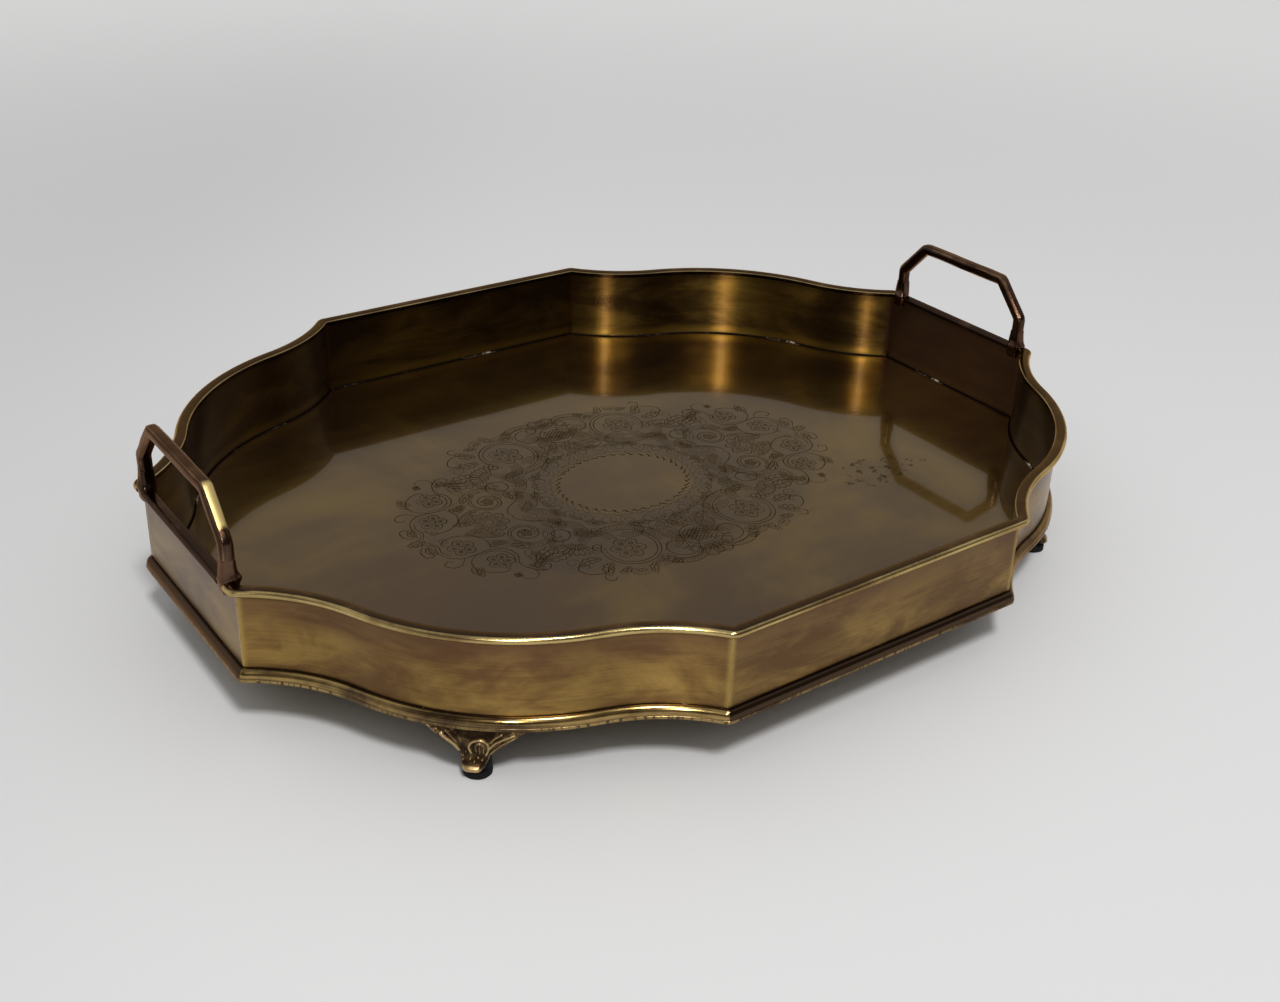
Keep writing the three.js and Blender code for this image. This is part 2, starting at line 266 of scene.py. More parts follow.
endOut = (1, 0)
sideOut = (0, 1)
endMitre = mitre(endOut, cornerRun[0][2:])
sideMitre = mitre(cornerRun[-1][2:], sideOut)
bowedStretch = withEnds(cornerRun, endMitre, sideMitre)
endRun = straightStations(
    (plan["halfLength"], -plan["endHalf"]), (plan["halfLength"], plan["endHalf"]), endOut)
sideRun = straightStations(
    (plan["sideHalf"], plan["halfWidth"]), (-plan["sideHalf"], plan["halfWidth"]), sideOut)
endStretch = withEnds(endRun, (endMitre[0], -endMitre[1]), endMitre)
sideStretch = withEnds(sideRun, sideMitre, (-sideMitre[0], sideMitre[1]))


def cornerArc(at, before, after):  # rounds a corner between two ways out
    cross = before[0] * after[1] - before[1] * after[0]
    turn = math.atan2(cross, before[0] * after[0] + before[1] * after[1])
    radius = plan["softCorner"]
    reach = radius * math.tan(turn / 2)
    centreX = at[0] + before[1] * reach - radius * before[0]
    centreY = at[1] - before[0] * reach - radius * before[1]
    stations = []
    for i in range(9):
        c, s = math.cos(turn * i / 8), math.sin(turn * i / 8)
        outX = before[0] * c - before[1] * s
        outY = before[0] * s + before[1] * c
        stations.append((centreX + radius * outX, centreY + radius * outY, outX, outY))
    return stations


def mirroredRun(run, flipX, flipY):
    return [(flipX * x, flipY * y, flipX * outX, flipY * outY) for x, y, outX, outY in reversed(run)]


endCorner = cornerArc(cornerRun[0][:2], endOut, cornerRun[0][2:])
sideCorner = cornerArc(cornerRun[-1][:2], cornerRun[-1][2:], sideOut)
softBowed = endCorner[4:] + cornerRun[1:-1] + sideCorner[:5]
softEnd = mirroredRun(endCorner[:5], 1, -1) + endStretch[1:-1] + endCorner[:5]
softSide = sideCorner[4:] + sideStretch[1:-1] + mirroredRun(sideCorner[4:], -1, 1)


def sweep(name, run, section, flip, material, standsFor=(), crease=35):
    # lay holds the way along, the way out from the wall's face, and the way to the nearer end
    along = [0]
    for a, b in zip(run, run[1:]):
        along.append(along[-1] + math.hypot(b[0] - a[0], b[1] - a[1]))
    points = []
    lay = []
    for (x, y, outX, outY), far in zip(run, along):
        for out, height in section:
            points.append((flip[0] * (x + outX * out), flip[1] * (y + outY * out), height))
            lay.append((far, out, min(far, along[-1] - far)))
    faces = ringFaces(len(run), len(section))
    return makePiece(name, points, faces, material, standsFor, lay, crease)


def bend(start, control, end, steps):
    points = []
    for i in range(1, steps + 1):
        t = i / steps
        keep = (1 - t) ** 2
        pull = 2 * t * (1 - t)
        points.append(tuple(keep * a + pull * b + t * t * c for a, b, c in zip(start, control, end)))
    return points


def polar(centre, radius, degrees):
    a = math.radians(degrees)
    return (centre[0] + radius * math.cos(a), centre[1] + radius * math.sin(a))


def arc(centre, radius, fromAngle, toAngle, steps):
    return [polar(centre, radius, fromAngle + (toAngle - fromAngle) * i / steps) for i in range(steps + 1)]


# Gallery wall

wall = {
    "bottom": 21.0,
    "top": 54.0,
    "sheet": 1.0,
    "gold": (0.39, 0.247, 0.068),
    "brown": (0.145, 0.075, 0.026),
    "plum": (0.12, 0.058, 0.032),
    "seam": (0.46, 0.31, 0.085),
    "inside": (0.36, 0.232, 0.048),
    "insideBrown": (0.050, 0.026, 0.013),
    # glow: the painted reflection of the floor low on the inner wall
    "glow": (0.48, 0.31, 0.055),
    "copper": (0.26, 0.10, 0.05),
    "patinaAndShade": (0.018, 0.009, 0.005),
    "plumInside": (0.120, 0.064, 0.044),
    "rough": 0.28,
    "combed": 0.8,
}


def atEnds(f):  # 1 on the straight ends under the handles
    across = f.axis(f.object, "X")
    return (across * across).ramp(0.0335, 0.0345)


def galleryBrass():
    f = finish("galleryBrass")
    along = f.axis(f.lay, "X")
    out = f.axis(f.lay, "Y")
    toEnd = f.axis(f.lay, "Z")
    height = f.axis(f.object, "Z")
    within = out.ramp(-0.0004, -0.0006)
    drawn = f.vector(along * 17, height * 1100, within * 5)
    streak = f.clouds(drawn, 1.0, 6, 0.62)
    broad = f.clouds(f.scaled(f.object, (1, 1, 2.6)), 24, 6, 0.62, 0.5)
    fine = f.clouds(f.vector(along * 60, height * 4200, within * 5), 1.0, 3, 0.7)
    worn = (broad * 0.88 + streak * 0.17 + fine * 0.10).ramp(0.44, 0.78)
    outside = f.mix(worn, wall["brown"], wall["gold"])
    # a plum tint that darkens towards the top of the outer wall, as painted shade under the rim
    outside = f.mix((height + broad * 0.012).ramp(0.040, 0.060) * 0.7, outside, wall["plum"])
    inside = f.mix(worn * 0.7 + 0.12, wall["insideBrown"], wall["inside"])
    # painted reflection: the lower part of the inner wall is brighter gold, as if the bright floor showed
    # in it
    inside = f.mix((height + broad * 0.004).ramp(0.0300, 0.0262) * 0.6, inside, wall["glow"])
    inside = f.mix(atEnds(f) * 0.85, inside, wall["plumInside"])
    # painted dark reflection: the insides of the walls towards the back left and front right, which face
    # the dark room, are darkened
    paintedDarkReflection = (f.axis(f.object, "X") * f.axis(f.object, "Y")).ramp(-0.004, -0.011)
    inside = f.mix(paintedDarkReflection * 0.7, inside, wall["insideBrown"])
    colour = f.mix(within, outside, inside)
    # darker towards the bottom of the wall, and a painted shadow line along the top of the wall just under
    # the rim, weaker inside
    foot = (height + broad * 0.003).ramp(0.0262, 0.0240)
    head = (height + broad * 0.004).ramp(0.0530, 0.0560)
    colour = f.mix((foot * 0.6).most(head * (1 - within * 0.6) * 0.8), colour, wall["patinaAndShade"])
    seam = (toEnd + streak * 0.0016).ramp(0.0030, 0.0008)
    colour = f.mix(seam * (1 - within) * 0.65, colour, wall["seam"])
    colour = f.mix(seam * within * 0.5, colour, wall["copper"])
    rough = wall["rough"] + 0.09 * broad - 0.04 * within + foot * 0.12 - seam * 0.06
    combed = f.bump(fine + streak * 0.6, 0.00002, 0.5)
    dents = f.bump(broad, 0.0004, 0.25, combed)
    return f.surface(Base_Color=colour, Roughness=rough, Metallic=1.0, Normal=dents,
                     Anisotropic=wall["combed"], Anisotropic_Rotation=0.25,
                     Coat_Weight=0.12, Coat_Roughness=0.10)


wallBrass = galleryBrass()
sheetSection = [
    (-wall["sheet"], wall["bottom"]),
    (0, wall["bottom"]),
    (0, wall["top"]),
    (-wall["sheet"], wall["top"]),
]
wallRuns = {"end": endStretch, "side": sideStretch, "bowed": bowedStretch}
for kind, place, flip in lengths:
    sweep(f"wall_{kind}_{place}", wallRuns[kind], sheetSection, flip, wallBrass,
          [f"{kind}_wall_{place}"])
print("gallery wall")


# Rim wire and base moulding

rim = {
    "bottom": 54.0,
    "height": 2.4,
    "proud": 3.5,
    "drop": 0.5,
    "inward": 0.25,
    "crown": 0.4,
    "chamfer": 0.3,
    "legGap": (34.45, 39.55),
    "gold": (0.58, 0.44, 0.18),
    "brown": (0.19, 0.11, 0.042),
    "paintedDarkReflection": (0.085, 0.048, 0.027),
    "top": (0.028, 0.016, 0.011),
    "red": (0.066, 0.036, 0.027),
    "tint": (0.90, 0.66, 0.44, 1),
    "redTint": (0.58, 0.49, 0.44, 1),
    "patinaAndShade": (0.012, 0.007, 0.004),
}
moulding = {
    "bottom": 20.2,
    "height": 4.6,
    "proud": 2.6,
    "band": 1.3,
    "groove": 0.15,
    "ledge": 5,
    "ledgeThick": 0.8,
    "arris": 0.2,
    "tint": (0.75, 0.53, 0.38, 1),
    "tan": (0.40, 0.27, 0.11),
    "gold": (0.42, 0.28, 0.095),
    "brown": (0.055, 0.029, 0.013),
}


def wireReadings(f):  # the way out, the height and the lines drawn along the wire
    out = f.axis(f.lay, "Y")
    height = f.axis(f.object, "Z")
    drawn = f.vector(f.axis(f.lay, "X") * 30, height * 1500, out * 1500)
    return out, height, f.clouds(drawn, 1.0, 4, 0.6)


def rimBrass(name, dark, tint, paintedLight):
    f = finish(name)
    out, height, drawn = wireReadings(f)
    broad = f.clouds(f.object, 38, 5, 0.65)
    # painted reflection: the top of the wire is dark, as if the dark room showed in it; the outer nose
    # (shown) and the inner arris are painted as bright highlight lines, narrower on the ends under the
    # handles
    top = f.mix(broad.ramp(0.5, 0.68), rim["top"], rim["paintedDarkReflection"])
    edge = f.mix((broad * 0.5 + drawn * 0.4 + paintedLight).ramp(0.32, 0.55), rim[dark], rim["gold"])
    shown = (out + drawn * 0.0004 + broad * 0.0006 - atEnds(f) * 0.0004).ramp(0.0028, 0.0035)
    arris = (out - drawn * 0.0003).ramp(-0.0009, -0.0012) * height.ramp(0.0556, 0.0559)
    colour = f.mix(shown.most(arris * 0.8), top, edge)
    # painted shade on the underside of the wire
    paintedUnderShade = (height + drawn * 0.0002).ramp(0.0545, 0.0541) * out.ramp(-0.0002, 0.0002)
    colour = f.mix(paintedUnderShade * 0.9, colour, rim["patinaAndShade"])
    rough = 0.13 + 0.16 * broad
    marks = f.bump(drawn + broad * 1.5, 0.00004, 0.5)
    return f.surface(Base_Color=colour, Roughness=rough, Metallic=1.0, Normal=marks,
                     Specular_Tint=rim[tint], Coat_Weight=0.15, Coat_Roughness=0.08)


def mouldBrass(name, paintedLight):
    f = finish(name)
    out, height, drawn = wireReadings(f)
    broad = f.clouds(f.object, 30, 5, 0.65)
    marked = f.clouds(f.vector(f.axis(f.lay, "X") * 620, 0, height * 90), 1.0, 2, 0.5)
    # random wear, shifted towards gold or brown by the painted light of this copy
    worn = (broad * 0.7 + drawn * 0.4 + paintedLight).ramp(0.48, 0.74)
    colour = f.mix(worn, moulding["brown"], moulding["gold"])
    band = (height + drawn * 0.0004).ramp(0.0220, 0.0215)
    colour = f.mix(band * broad.ramp(0.35, 0.6) * 0.75, colour, moulding["tan"])
    cuts = marked.ramp(0.53, 0.59) * broad.ramp(0.36, 0.5) * band
    colour = f.mix(cuts * 0.85, colour, rim["patinaAndShade"])
    groove = (height - 0.0215).ramp(0, 0.0002) * height.ramp(0.0219, 0.0217) * out.ramp(0.0018, 0.0022)
    top = (height + broad * 0.0006).ramp(0.0247, 0.0251)
    colour = f.mix((groove * 0.5).most(top * 0.5), colour, rim["patinaAndShade"])
    edge = (height + drawn * 0.0002).ramp(0.0206, 0.0203)
    colour = f.mix(edge * broad.ramp(0.35, 0.5) * 0.8, colour, rim["gold"])
    rough = 0.11 + 0.16 * broad
    marks = f.bump(drawn + broad * 1.5 - cuts, 0.00006, 0.5)
    return f.surface(Base_Color=colour, Roughness=rough, Metallic=1.0, Normal=marks,
                     Specular_Tint=moulding["tint"], Coat_Weight=0.3, Coat_Roughness=0.06)


# lit and shaded copies: paintedLight paints the rims on the ends and the moulding on the ends and sides
# darker as shade, and the moulding on the bows brighter as a painted highlight
lipBrass = rimBrass("rimBrass", "brown", "tint", 0.0)
shadedEndLipBrass = rimBrass("shadedEndRimBrass", "red", "redTint", -0.2)
shadedBaseBrass = mouldBrass("mouldBrass", -0.22)
litBowBaseBrass = mouldBrass("litBowMouldBrass", 0.05)
rimTop = rim["bottom"] + rim["height"]
nose = (rim["height"] + rim["drop"]) / 2
noseEnd = (rim["proud"] - nose, rimTop)
rimInner = -wall["sheet"] - rim["inward"]
rimSection = [
    (rimInner + rim["chamfer"], rim["bottom"]),
    (0.04, rim["bottom"]),
    (0.04, rim["bottom"] - rim["drop"]),
]
rimSection += arc((rim["proud"] - nose, rimTop - nose), nose, -90, 90, 14)
rimSection += bend(noseEnd, (0, rimTop), (rimInner + rim["chamfer"], rimTop - rim["crown"]), 8)
rimSection += [
    (rimInner, rimTop - rim["crown"] - rim["chamfer"]),
    (rimInner, rim["bottom"] + rim["chamfer"]),
]

proud = moulding["proud"]
bottom = moulding["bottom"]
arris = moulding["arris"]
bandTop = bottom + moulding["band"]
rollFoot = bandTop + moulding["groove"] + 0.1
mouldTop = bottom + moulding["height"]
mouldSection = [
    (0.02, bottom),
    (proud - arris, bottom),
    (proud, bottom + arris),
    (proud, bandTop - arris / 2),
    (proud - arris / 2, bandTop),
    (proud - moulding["groove"], bandTop + moulding["groove"] / 2),
]
for turn in range(0, 91, 9):
    a = math.radians(turn)
    rollRise = (mouldTop - rollFoot) * math.sin(a)
    mouldSection.append((0.4 + (proud - 0.55) * math.cos(a), rollFoot + rollRise))
mouldSection.append((0.02, mouldTop - 0.1))
ledgeShape = [
    (-moulding["ledge"], bottom + 0.02),
    (0.05, bottom + 0.02),
    (0.05, bottom + moulding["ledgeThick"]),
    (-moulding["ledge"], bottom + moulding["ledgeThick"]),
]

between, beyond = rim["legGap"]
rimReturn = [(plan["halfLength"], beyond, *endOut)] + endCorner[:4] + softBowed
rimEnd = straightStations((plan["halfLength"], -between), (plan["halfLength"], between), endOut)
rimRuns = {"end": rimEnd, "side": softSide, "bowed": rimReturn}
mouldRuns = {"end": softEnd, "side": softSide, "bowed": softBowed}
for kind, place, flip in lengths:
    lip = shadedEndLipBrass if kind == "end" else lipBrass
    base = litBowBaseBrass if kind == "bowed" else shadedBaseBrass
    sweep(f"lip_{kind}_{place}", rimRuns[kind], rimSection, flip, lip,
          [f"rim_{kind}_{place}"])
    sweep(f"base_{kind}_{place}", mouldRuns[kind], mouldSection, flip, base,
          [f"moulding_{kind}_{place}"])
    sweep(f"ledge_{kind}_{place}", wallRuns[kind], ledgeShape, flip, shadedBaseBrass)
print("rim and base moulding")


# Floor

floor = {
    "bottom": 21.3,
    "top": 22.3,
    "bronze": (0.066, 0.034, 0.013),
    "olive": (0.128, 0.076, 0.018),
    "plum": (0.054, 0.027, 0.015),
    "stain": (0.014, 0.007, 0.006),
    "rough": 0.13,
    "tint": (1.0, 0.80, 0.50, 1),
    "centre": (-0.003, 0.002),  # of the darker worked ring, with its half sizes, in metres
    "ring": (0.096, 0.066),
    "blank": (0.031, 0.026),
    "spots": (0.096, -0.047),
}


def floorBrass():
    f = finish("floorBrass")
    drawn = f.clouds(f.scaled(f.object, (9, 130, 1)), 1.0, 6, 0.65)
    broad = f.clouds(f.object, 13, 6, 0.62, 0.5)
    patches = f.clouds(f.scaled(f.object, (20, 34, 1)), 1.0, 5, 0.6, 0.4)
    fine = f.clouds(f.scaled(f.object, (160, 2600, 1)), 1.0, 3, 0.7)
    cloudy = (broad * 0.75 + drawn * 0.13 + patches * 0.25).ramp(0.50, 0.74)
    colour = f.mix(cloudy, floor["bronze"], floor["olive"])
    colour = f.mix(broad.ramp(0.46, 0.34) * 0.7, colour, floor["plum"])
    x = f.axis(f.object, "X")
    y = f.axis(f.object, "Y")
    ringHalf, ringWidth = floor["ring"]
    blankHalf, blankWidth = floor["blank"]
    worked = x - floor["centre"][0]
    worked = worked * worked * (1 / ringHalf ** 2)
    across = y - floor["centre"][1]
    across = across * across
    ring = (worked + across * (1 / ringWidth ** 2)).ramp(1.08, 0.80)
    blank = (worked * (ringHalf / blankHalf) ** 2 + across * (1 / blankWidth ** 2)).ramp(0.92, 1.10)
    colour = f.mix(ring * blank * (0.30 + 0.35 * patches), colour, floor["stain"])
    spots = f.clouds(f.object, 230, 5, 0.75)
    nearX = x - floor["spots"][0]
    nearY = y - floor["spots"][1]
    near = (nearX * nearX * 0.45 + nearY * nearY).ramp(0.00045, 0.00003)
    stain = (spots + near * 0.17).ramp(0.70, 0.76)
    colour = f.mix(stain * 0.9, colour, floor["stain"])
    rough = floor["rough"] + 0.10 * drawn + 0.10 * stain
    brushed = f.bump(fine, 0.00001, 0.2)
    wavy = f.bump(broad, 0.0008, 0.06, brushed)
    return f.surface(Base_Color=colour, Roughness=rough, Metallic=0.85, Normal=wavy,
                     Specular_Tint=floor["tint"], Coat_Weight=0.5 - 0.4 * stain, Coat_Roughness=0.045)


plateBrass = floorBrass()
inset = wall["sheet"]
quarter = [(x - outX * inset, y - outY * inset) for x, y, outX, outY in bowedStretch]
outline = list(quarter)
outline += [(-x, y) for x, y in reversed(quarter)]
outline += [(-x, -y) for x, y in quarter]
outline += [(x, -y) for x, y in reversed(quarter)]
platePoints = [(x, y, floor["bottom"]) for x, y in outline] + [(x, y, floor["top"]) for x, y in outline]
makePiece("floor_sheet", platePoints, ringFaces(2, len(outline)), plateBrass,
          ["floor_plate"])
print("floor")


# Engraving: scrollwork round a blank oval, drawn for one quarter of the floor and mirrored

engraving = {
    "centre": (-3, 2),
    "stretch": 0.96,
    "oval": (28.6, 23.4),
    "line": 0.60,
    "fine": 0.36,
    "bold": 0.72,
    "proud": 0.02,
    "teeth": 42,
    "ringMotifs": 26,
    "outerMotifs": 24,
    "dark": (0.010, 0.006, 0.004),
    "worn": (0.050, 0.028, 0.013),
}


def engravedBrass():
    f = finish("engravedBrass")
    broad = f.clouds(f.object, 160, 4, 0.6)
    colour = f.mix(broad.ramp(0.4, 0.65), engraving["dark"], engraving["worn"])
    rough = 0.42 + 0.2 * broad
    return f.surface(Base_Color=colour, Roughness=rough, Metallic=1.0, Normal=f.bump(broad, 0.00005, 0.4),
                     Specular_Tint=floor["tint"])


def through(points, steps=6):  # a smooth line through the points
    padded = [points[0]] + list(points) + [points[-1]]
    line = []
    for a, b, c, d in zip(padded, padded[1:], padded[2:], padded[3:]):
        for i in range(steps):
            t = i / steps
            line.append(tuple(
                0.5 * (2 * q + (r - p) * t + (2 * p - 5 * q + 4 * r - w) * t * t
                       + (3 * q - p - 3 * r + w) * t ** 3)
                for p, q, r, w in zip(a, b, c, d)))
    return line + [points[-1]]


def curl(centre, start, end, fromAngle, turns, steps=20):
    line = []
    for i in range(steps + 1):
        t = i / steps
        line.append(polar(centre, start + (end - start) * t, fromAngle + 360 * turns * t))
    return line


def blossom(centre, radius, petals, turn=0):
    steps = petals * 8
    outlineSteps = [(360 * i / steps, 0.62 + 0.38 * abs(math.sin(math.pi * petals * i / steps)) ** 0.7)
                    for i in range(steps + 1)]
    lines = [[polar(centre, radius * reach, degrees + turn) for degrees, reach in outlineSteps]]
    lines.append(curl(centre, radius * 0.26, radius * 0.2, 0, 1, 10))
    for k in range(petals):
        middle = turn + 360 * (k + 0.5) / petals
        for lean, far in ((-11, 0.74), (0, 0.84), (11, 0.74)):
            lines.append([polar(centre, radius * part, middle + lean) for part in (0.36, 0.55, far)])
        lines.append([polar(centre, radius * part, middle + 180 / petals) for part in (0.3, 0.58)])
    return lines


def leafSpray(root, angle, length, width, lobes=4, sweepBy=0.35):
    # an acanthus leaf: two lobed edges about a bent midrib
    rib = []
    left = []
    right = []
    steps = lobes * 5
    for i in range(steps + 1):
        t = i / steps
        a = math.radians(angle) + sweepBy * t
        at = (root[0] + length * t * math.cos(a), root[1] + length * t * math.sin(a))
        side = (-math.sin(a), math.cos(a))
        lobe = 0.55 + 0.45 * abs(math.sin(math.pi * lobes * t))
        half = width * math.sin(math.pi * min(1, t * 1.02)) ** 0.6 * lobe
        rib.append(at)
        left.append((at[0] + side[0] * half, at[1] + side[1] * half))
        right.append((at[0] - side[0] * half, at[1] - side[1] * half))
    lines = [rib[: steps - 1], left, right]
    for k in range(1, lobes):
        i = round(k * steps / lobes)
        j = max(i - 2, 0)
        lines.append([rib[j], left[i]])
        lines.append([rib[j], right[i]])
    return lines


def gills(centre, inner, outer, fromAngle, toAngle, count, bulge=12):
    # a crescent of short bowed lines between two arcs
    turns = (toAngle - fromAngle) / 360
    lines = [curl(centre, inner, inner * 0.94, fromAngle, turns, 14),
             curl(centre, outer, outer * 0.94, fromAngle, turns, 14)]
    for i in range(count):
        angle = fromAngle + (toAngle - fromAngle) * (i + 0.5) / count
        line = []
        for step in range(5):
            t = step / 4
            radius = inner + (outer - inner) * (0.1 + 0.8 * t)
            line.append(polar(centre, radius, angle + bulge * math.sin(math.pi * t)))
        lines.append(line)
    return lines


def fan(root, facing, radius, spread, ribs):
    lines = []
    scallops = []
    for k in range(ribs + 1):
        angle = facing + spread * (k / ribs - 0.5)
        lines.append([polar(root, radius * part, angle) for part in (0.2, 0.5, 0.88)])
    for i in range(ribs * 5 + 1):
        reach = radius * (0.9 + 0.1 * abs(math.sin(math.pi * i / 5)))
        scallops.append(polar(root, reach, facing + spread * (i / (ribs * 5) - 0.5)))
    lines.append(scallops)
    lines.append(curl(root, radius * 0.55, radius * 0.55, facing - spread / 2, spread / 360, 10))
    lines.append(curl(root, radius * 0.2, radius * 0.2, facing - spread / 2, spread / 360, 6))
    return lines


def lattice(centre, halfWide, halfHigh, step):
    lines = []
    reach = int((halfWide + halfHigh) / step)
    for k in range(-reach, reach + 1):
        for lean in (1, -1):
            line = []
            for i in range(9):
                x = -halfWide + 2 * halfWide * i / 8
                y = lean * x * 0.8 + k * step
                if (x / halfWide) ** 2 + (y / halfHigh) ** 2 < 1:
                    line.append((centre[0] + x, centre[1] + y))
            if len(line) > 1:
                lines.append(line)
    return lines


def clear(place, kept):
    return all(math.dist(place, centre) > reach for centre, reach in kept)


def drawn(motif, places):  # the lines of one motif at several places
    return [line for place in places for line in motif(*place)]


def quarterScrolls():
    vines = (  # the long stems, their hooks and the tendrils beside them
        ((78.2, 40.6), (76.8, 44.4), (72.8, 45), (70.4, 41.4), (72.6, 36.8), (73.2, 32.6), (70.8, 27.6),
         (72, 21.8), (77.6, 18.4), (84, 18.8), (89.8, 19), (94.6, 15.8), (96.6, 10.2), (95.6, 5),
         (99, 2), (104.4, 0.8)),
        ((74.4, 32.4), (72.4, 27.4), (73.6, 22.8), (78, 19.8), (83.8, 20.2)),
        ((93.4, 14.8), (95, 10.2), (94.2, 5.8), (96.6, 1.6)),
        ((84, 19), (88.6, 22.4), (90, 27.8), (87, 32.6), (82, 35.4), (78.6, 34.6), (79.6, 32.8)),
        ((89.8, 19.2), (93, 22.8), (97, 23), (99, 19.8), (96.6, 17.8), (95.2, 19.4)),
        ((77.6, 18.2), (75.4, 12.8), (77.8, 6.6), (83.6, 3), (89.6, 3), (92.8, 6.2), (91, 8)),
        ((99.4, 3), (102.4, 7), (102, 11), (99.2, 11.8), (98.6, 9.8)),
        ((72.4, 37.4), (69.4, 41.2), (66, 42.4), (63.6, 40.2), (65.4, 38.2)),
        ((44, 54), (49, 56.4), (54.6, 54.4), (57, 50), (54.4, 46.8), (51.6, 48.8), (53.2, 50.8)),
        ((20, 60), (15.4, 64), (9.4, 64.8), (5.4, 61.6), (7.4, 58.2), (10.6, 59.6), (9.4, 61.8)),
        ((49, 56.4), (51.4, 60), (49.4, 62.6), (46.8, 61)),
        ((44, 15.6), (47.4, 10.4), (53.4, 6.6), (56.4, 2.6), (56, 0)),
        ((0, 66.5), (3.4, 68.4), (6.4, 66), (5, 62.6)),
    )
    lines = [through(points) for points in vines]
    lines += [curl(*scroll) for scroll in (
        ((30.6, 45.8), 14.8, 10.6, 262, -0.88, 46), ((30.6, 45.8), 13.2, 9.2, 248, -0.74, 38),
        ((40.6, 39.2), 3.2, 0.7, 150, -1.4, 20), ((59, 14.8), 8.6, 2.0, 100, -1.7, 40),
        ((59, 14.8), 7.2, 3.2, 70, -0.9, 24), ((48.4, 22.8), 6.6, 1.4, -60, 1.5, 34),
        ((12, 55.4), 8.8, 2.2, 200, -1.35, 34),
    )]
    lines += drawn(blossom, (
        ((86.6, 11.6), 5.8, 5, 17), ((78.8, 28), 5.6, 5, 52), ((78.4, 40), 1.7, 4),
        ((30.6, 45.8), 7.4, 6, 12), ((59, 14.8), 2.8, 5),
    ))
    lines += drawn(leafSpray, (
        ((97.4, 4.4), 50, 7, 1.8, 3, 0.7), ((76.4, 17), 215, 8.4, 1.9, 3, -0.6),
        ((87, 28.6), 25, 6.8, 1.7, 3, 0.6), ((71, 36), 130, 7, 1.7, 3, 0.6),
        ((42.4, 52), 14, 9.5, 2.6, 4, 0.6), ((38.6, 57.4), 58, 6, 1.8, 3, -0.7),
        ((27, 60.6), 12, 8, 2.0, 3, 0.7), ((44.6, 47.4), -32, 11, 2.5, 4, 0.6),
        ((51, 35), 30, 14, 3.4, 5, -0.45), ((54, 30.6), -4, 14.5, 3.0, 5, 0.5),
        ((61, 22.6), 20, 9, 2.4, 4, -0.8), ((17, 62.6), 52, 5.6, 1.6, 3, -0.7),
    ))
    return lines + fan((46, 31.6), 50, 10, 120, 8)


def quarterFilling():
    lines = drawn(gills, (
        ((14.5, 46), 4.6, 9.8, 60, 262, 20), ((3.5, 42), 5, 10, 5, 120, 13),
        ((30.6, 45.8), 14.8, 19, 168, 292, 20), ((45, 22.5), 4.6, 9.2, 95, 262, 18),
        ((49, 8.4), 4.6, 9.4, 110, 275, 18), ((67, 0), 9.4, 12.6, 10, 86, 12),
        ((38, 35), 3.6, 8, 150, 350, 18), ((22, 33.5), 3.0, 6.8, 10, 225, 16),
        ((64.4, 39.6), 2.6, 5.4, 200, 400, 12), ((88, 30), 2.6, 4.6, -80, 40, 6),
        ((12, 55.4), 9.2, 12.8, 15, 150, 15), ((59, 14.8), 9.2, 12.2, 60, 190, 12),
        ((36.6, 26), 2.6, 5.6, -60, 120, 9), ((76, 8), 3.4, 6.4, 190, 330, 9),
    ))
    lines += drawn(fan, (
        ((8, 46), 96, 12, 70, 8), ((56, 24), 140, 7.8, 100, 8), ((42, 12), 20, 7.4, 110, 8),
        ((70, 14), 40, 6.6, 120, 7), ((24, 57), 100, 7, 110, 7), ((1.6, 58), 84, 9.6, 70, 8),
        ((35, 60), 60, 5.4, 120, 6), ((62, 30), 10, 6.2, 130, 7),
    ))
    tendrils = (  # centre, radius, first direction and turns
        ((9.6, 36.6), 5.2, 200, -1.6), ((21.6, 59.4), 3.8, 10, 1.5), ((7.6, 61.4), 3.2, 160, 1.4),
        ((69, 9), 3.4, 80, 1.4), ((64.6, 33.6), 4.2, 250, 1.6), ((56, 44), 3.6, 30, 1.6),
        ((34, 29.4), 3.8, 120, 1.6), ((67, 20.4), 3.2, 300, -1.5), ((43, 41), 3.4, 20, -1.5),
        ((17.4, 40.4), 3.4, 90, 1.5), ((53.4, 16.4), 2.6, 0, 1.4), ((90.8, 3.6), 2.2, 60, 1.3),
    )
    return lines + [curl(centre, radius, radius * 0.22, facing, turns, 26)
                    for centre, radius, facing, turns in tendrils]


def onOval(a, wider, higher):  # a place on the blank oval made wider and higher
    wide, high = engraving["oval"]
    return (wide * wider * math.cos(a), high * higher * math.sin(a))


def ovalTeeth():
    teeth = engraving["teeth"]
    lines = []
    for k in range(teeth):
        angle = 360 * k / teeth
        size = 1 + 0.5 * noise.noise(Vector((k * 1.37, 0.5, 2)))
        angle += 2.4 * noise.noise(Vector((k * 1.9, 4.1, 1)))
        for reach, lean, parts in ((0.105, 6.4, 6), (0.06, -2.6, 4), (0.075, 2.2, 4)):
            line = []
            for i in range(parts):
                t = i / (parts - 1)
                a = math.radians(angle + lean * t ** 1.6)
                out = 0.985 + reach * size * t
                line.append(onOval(a, out, out))
            lines.append(line)
    return lines


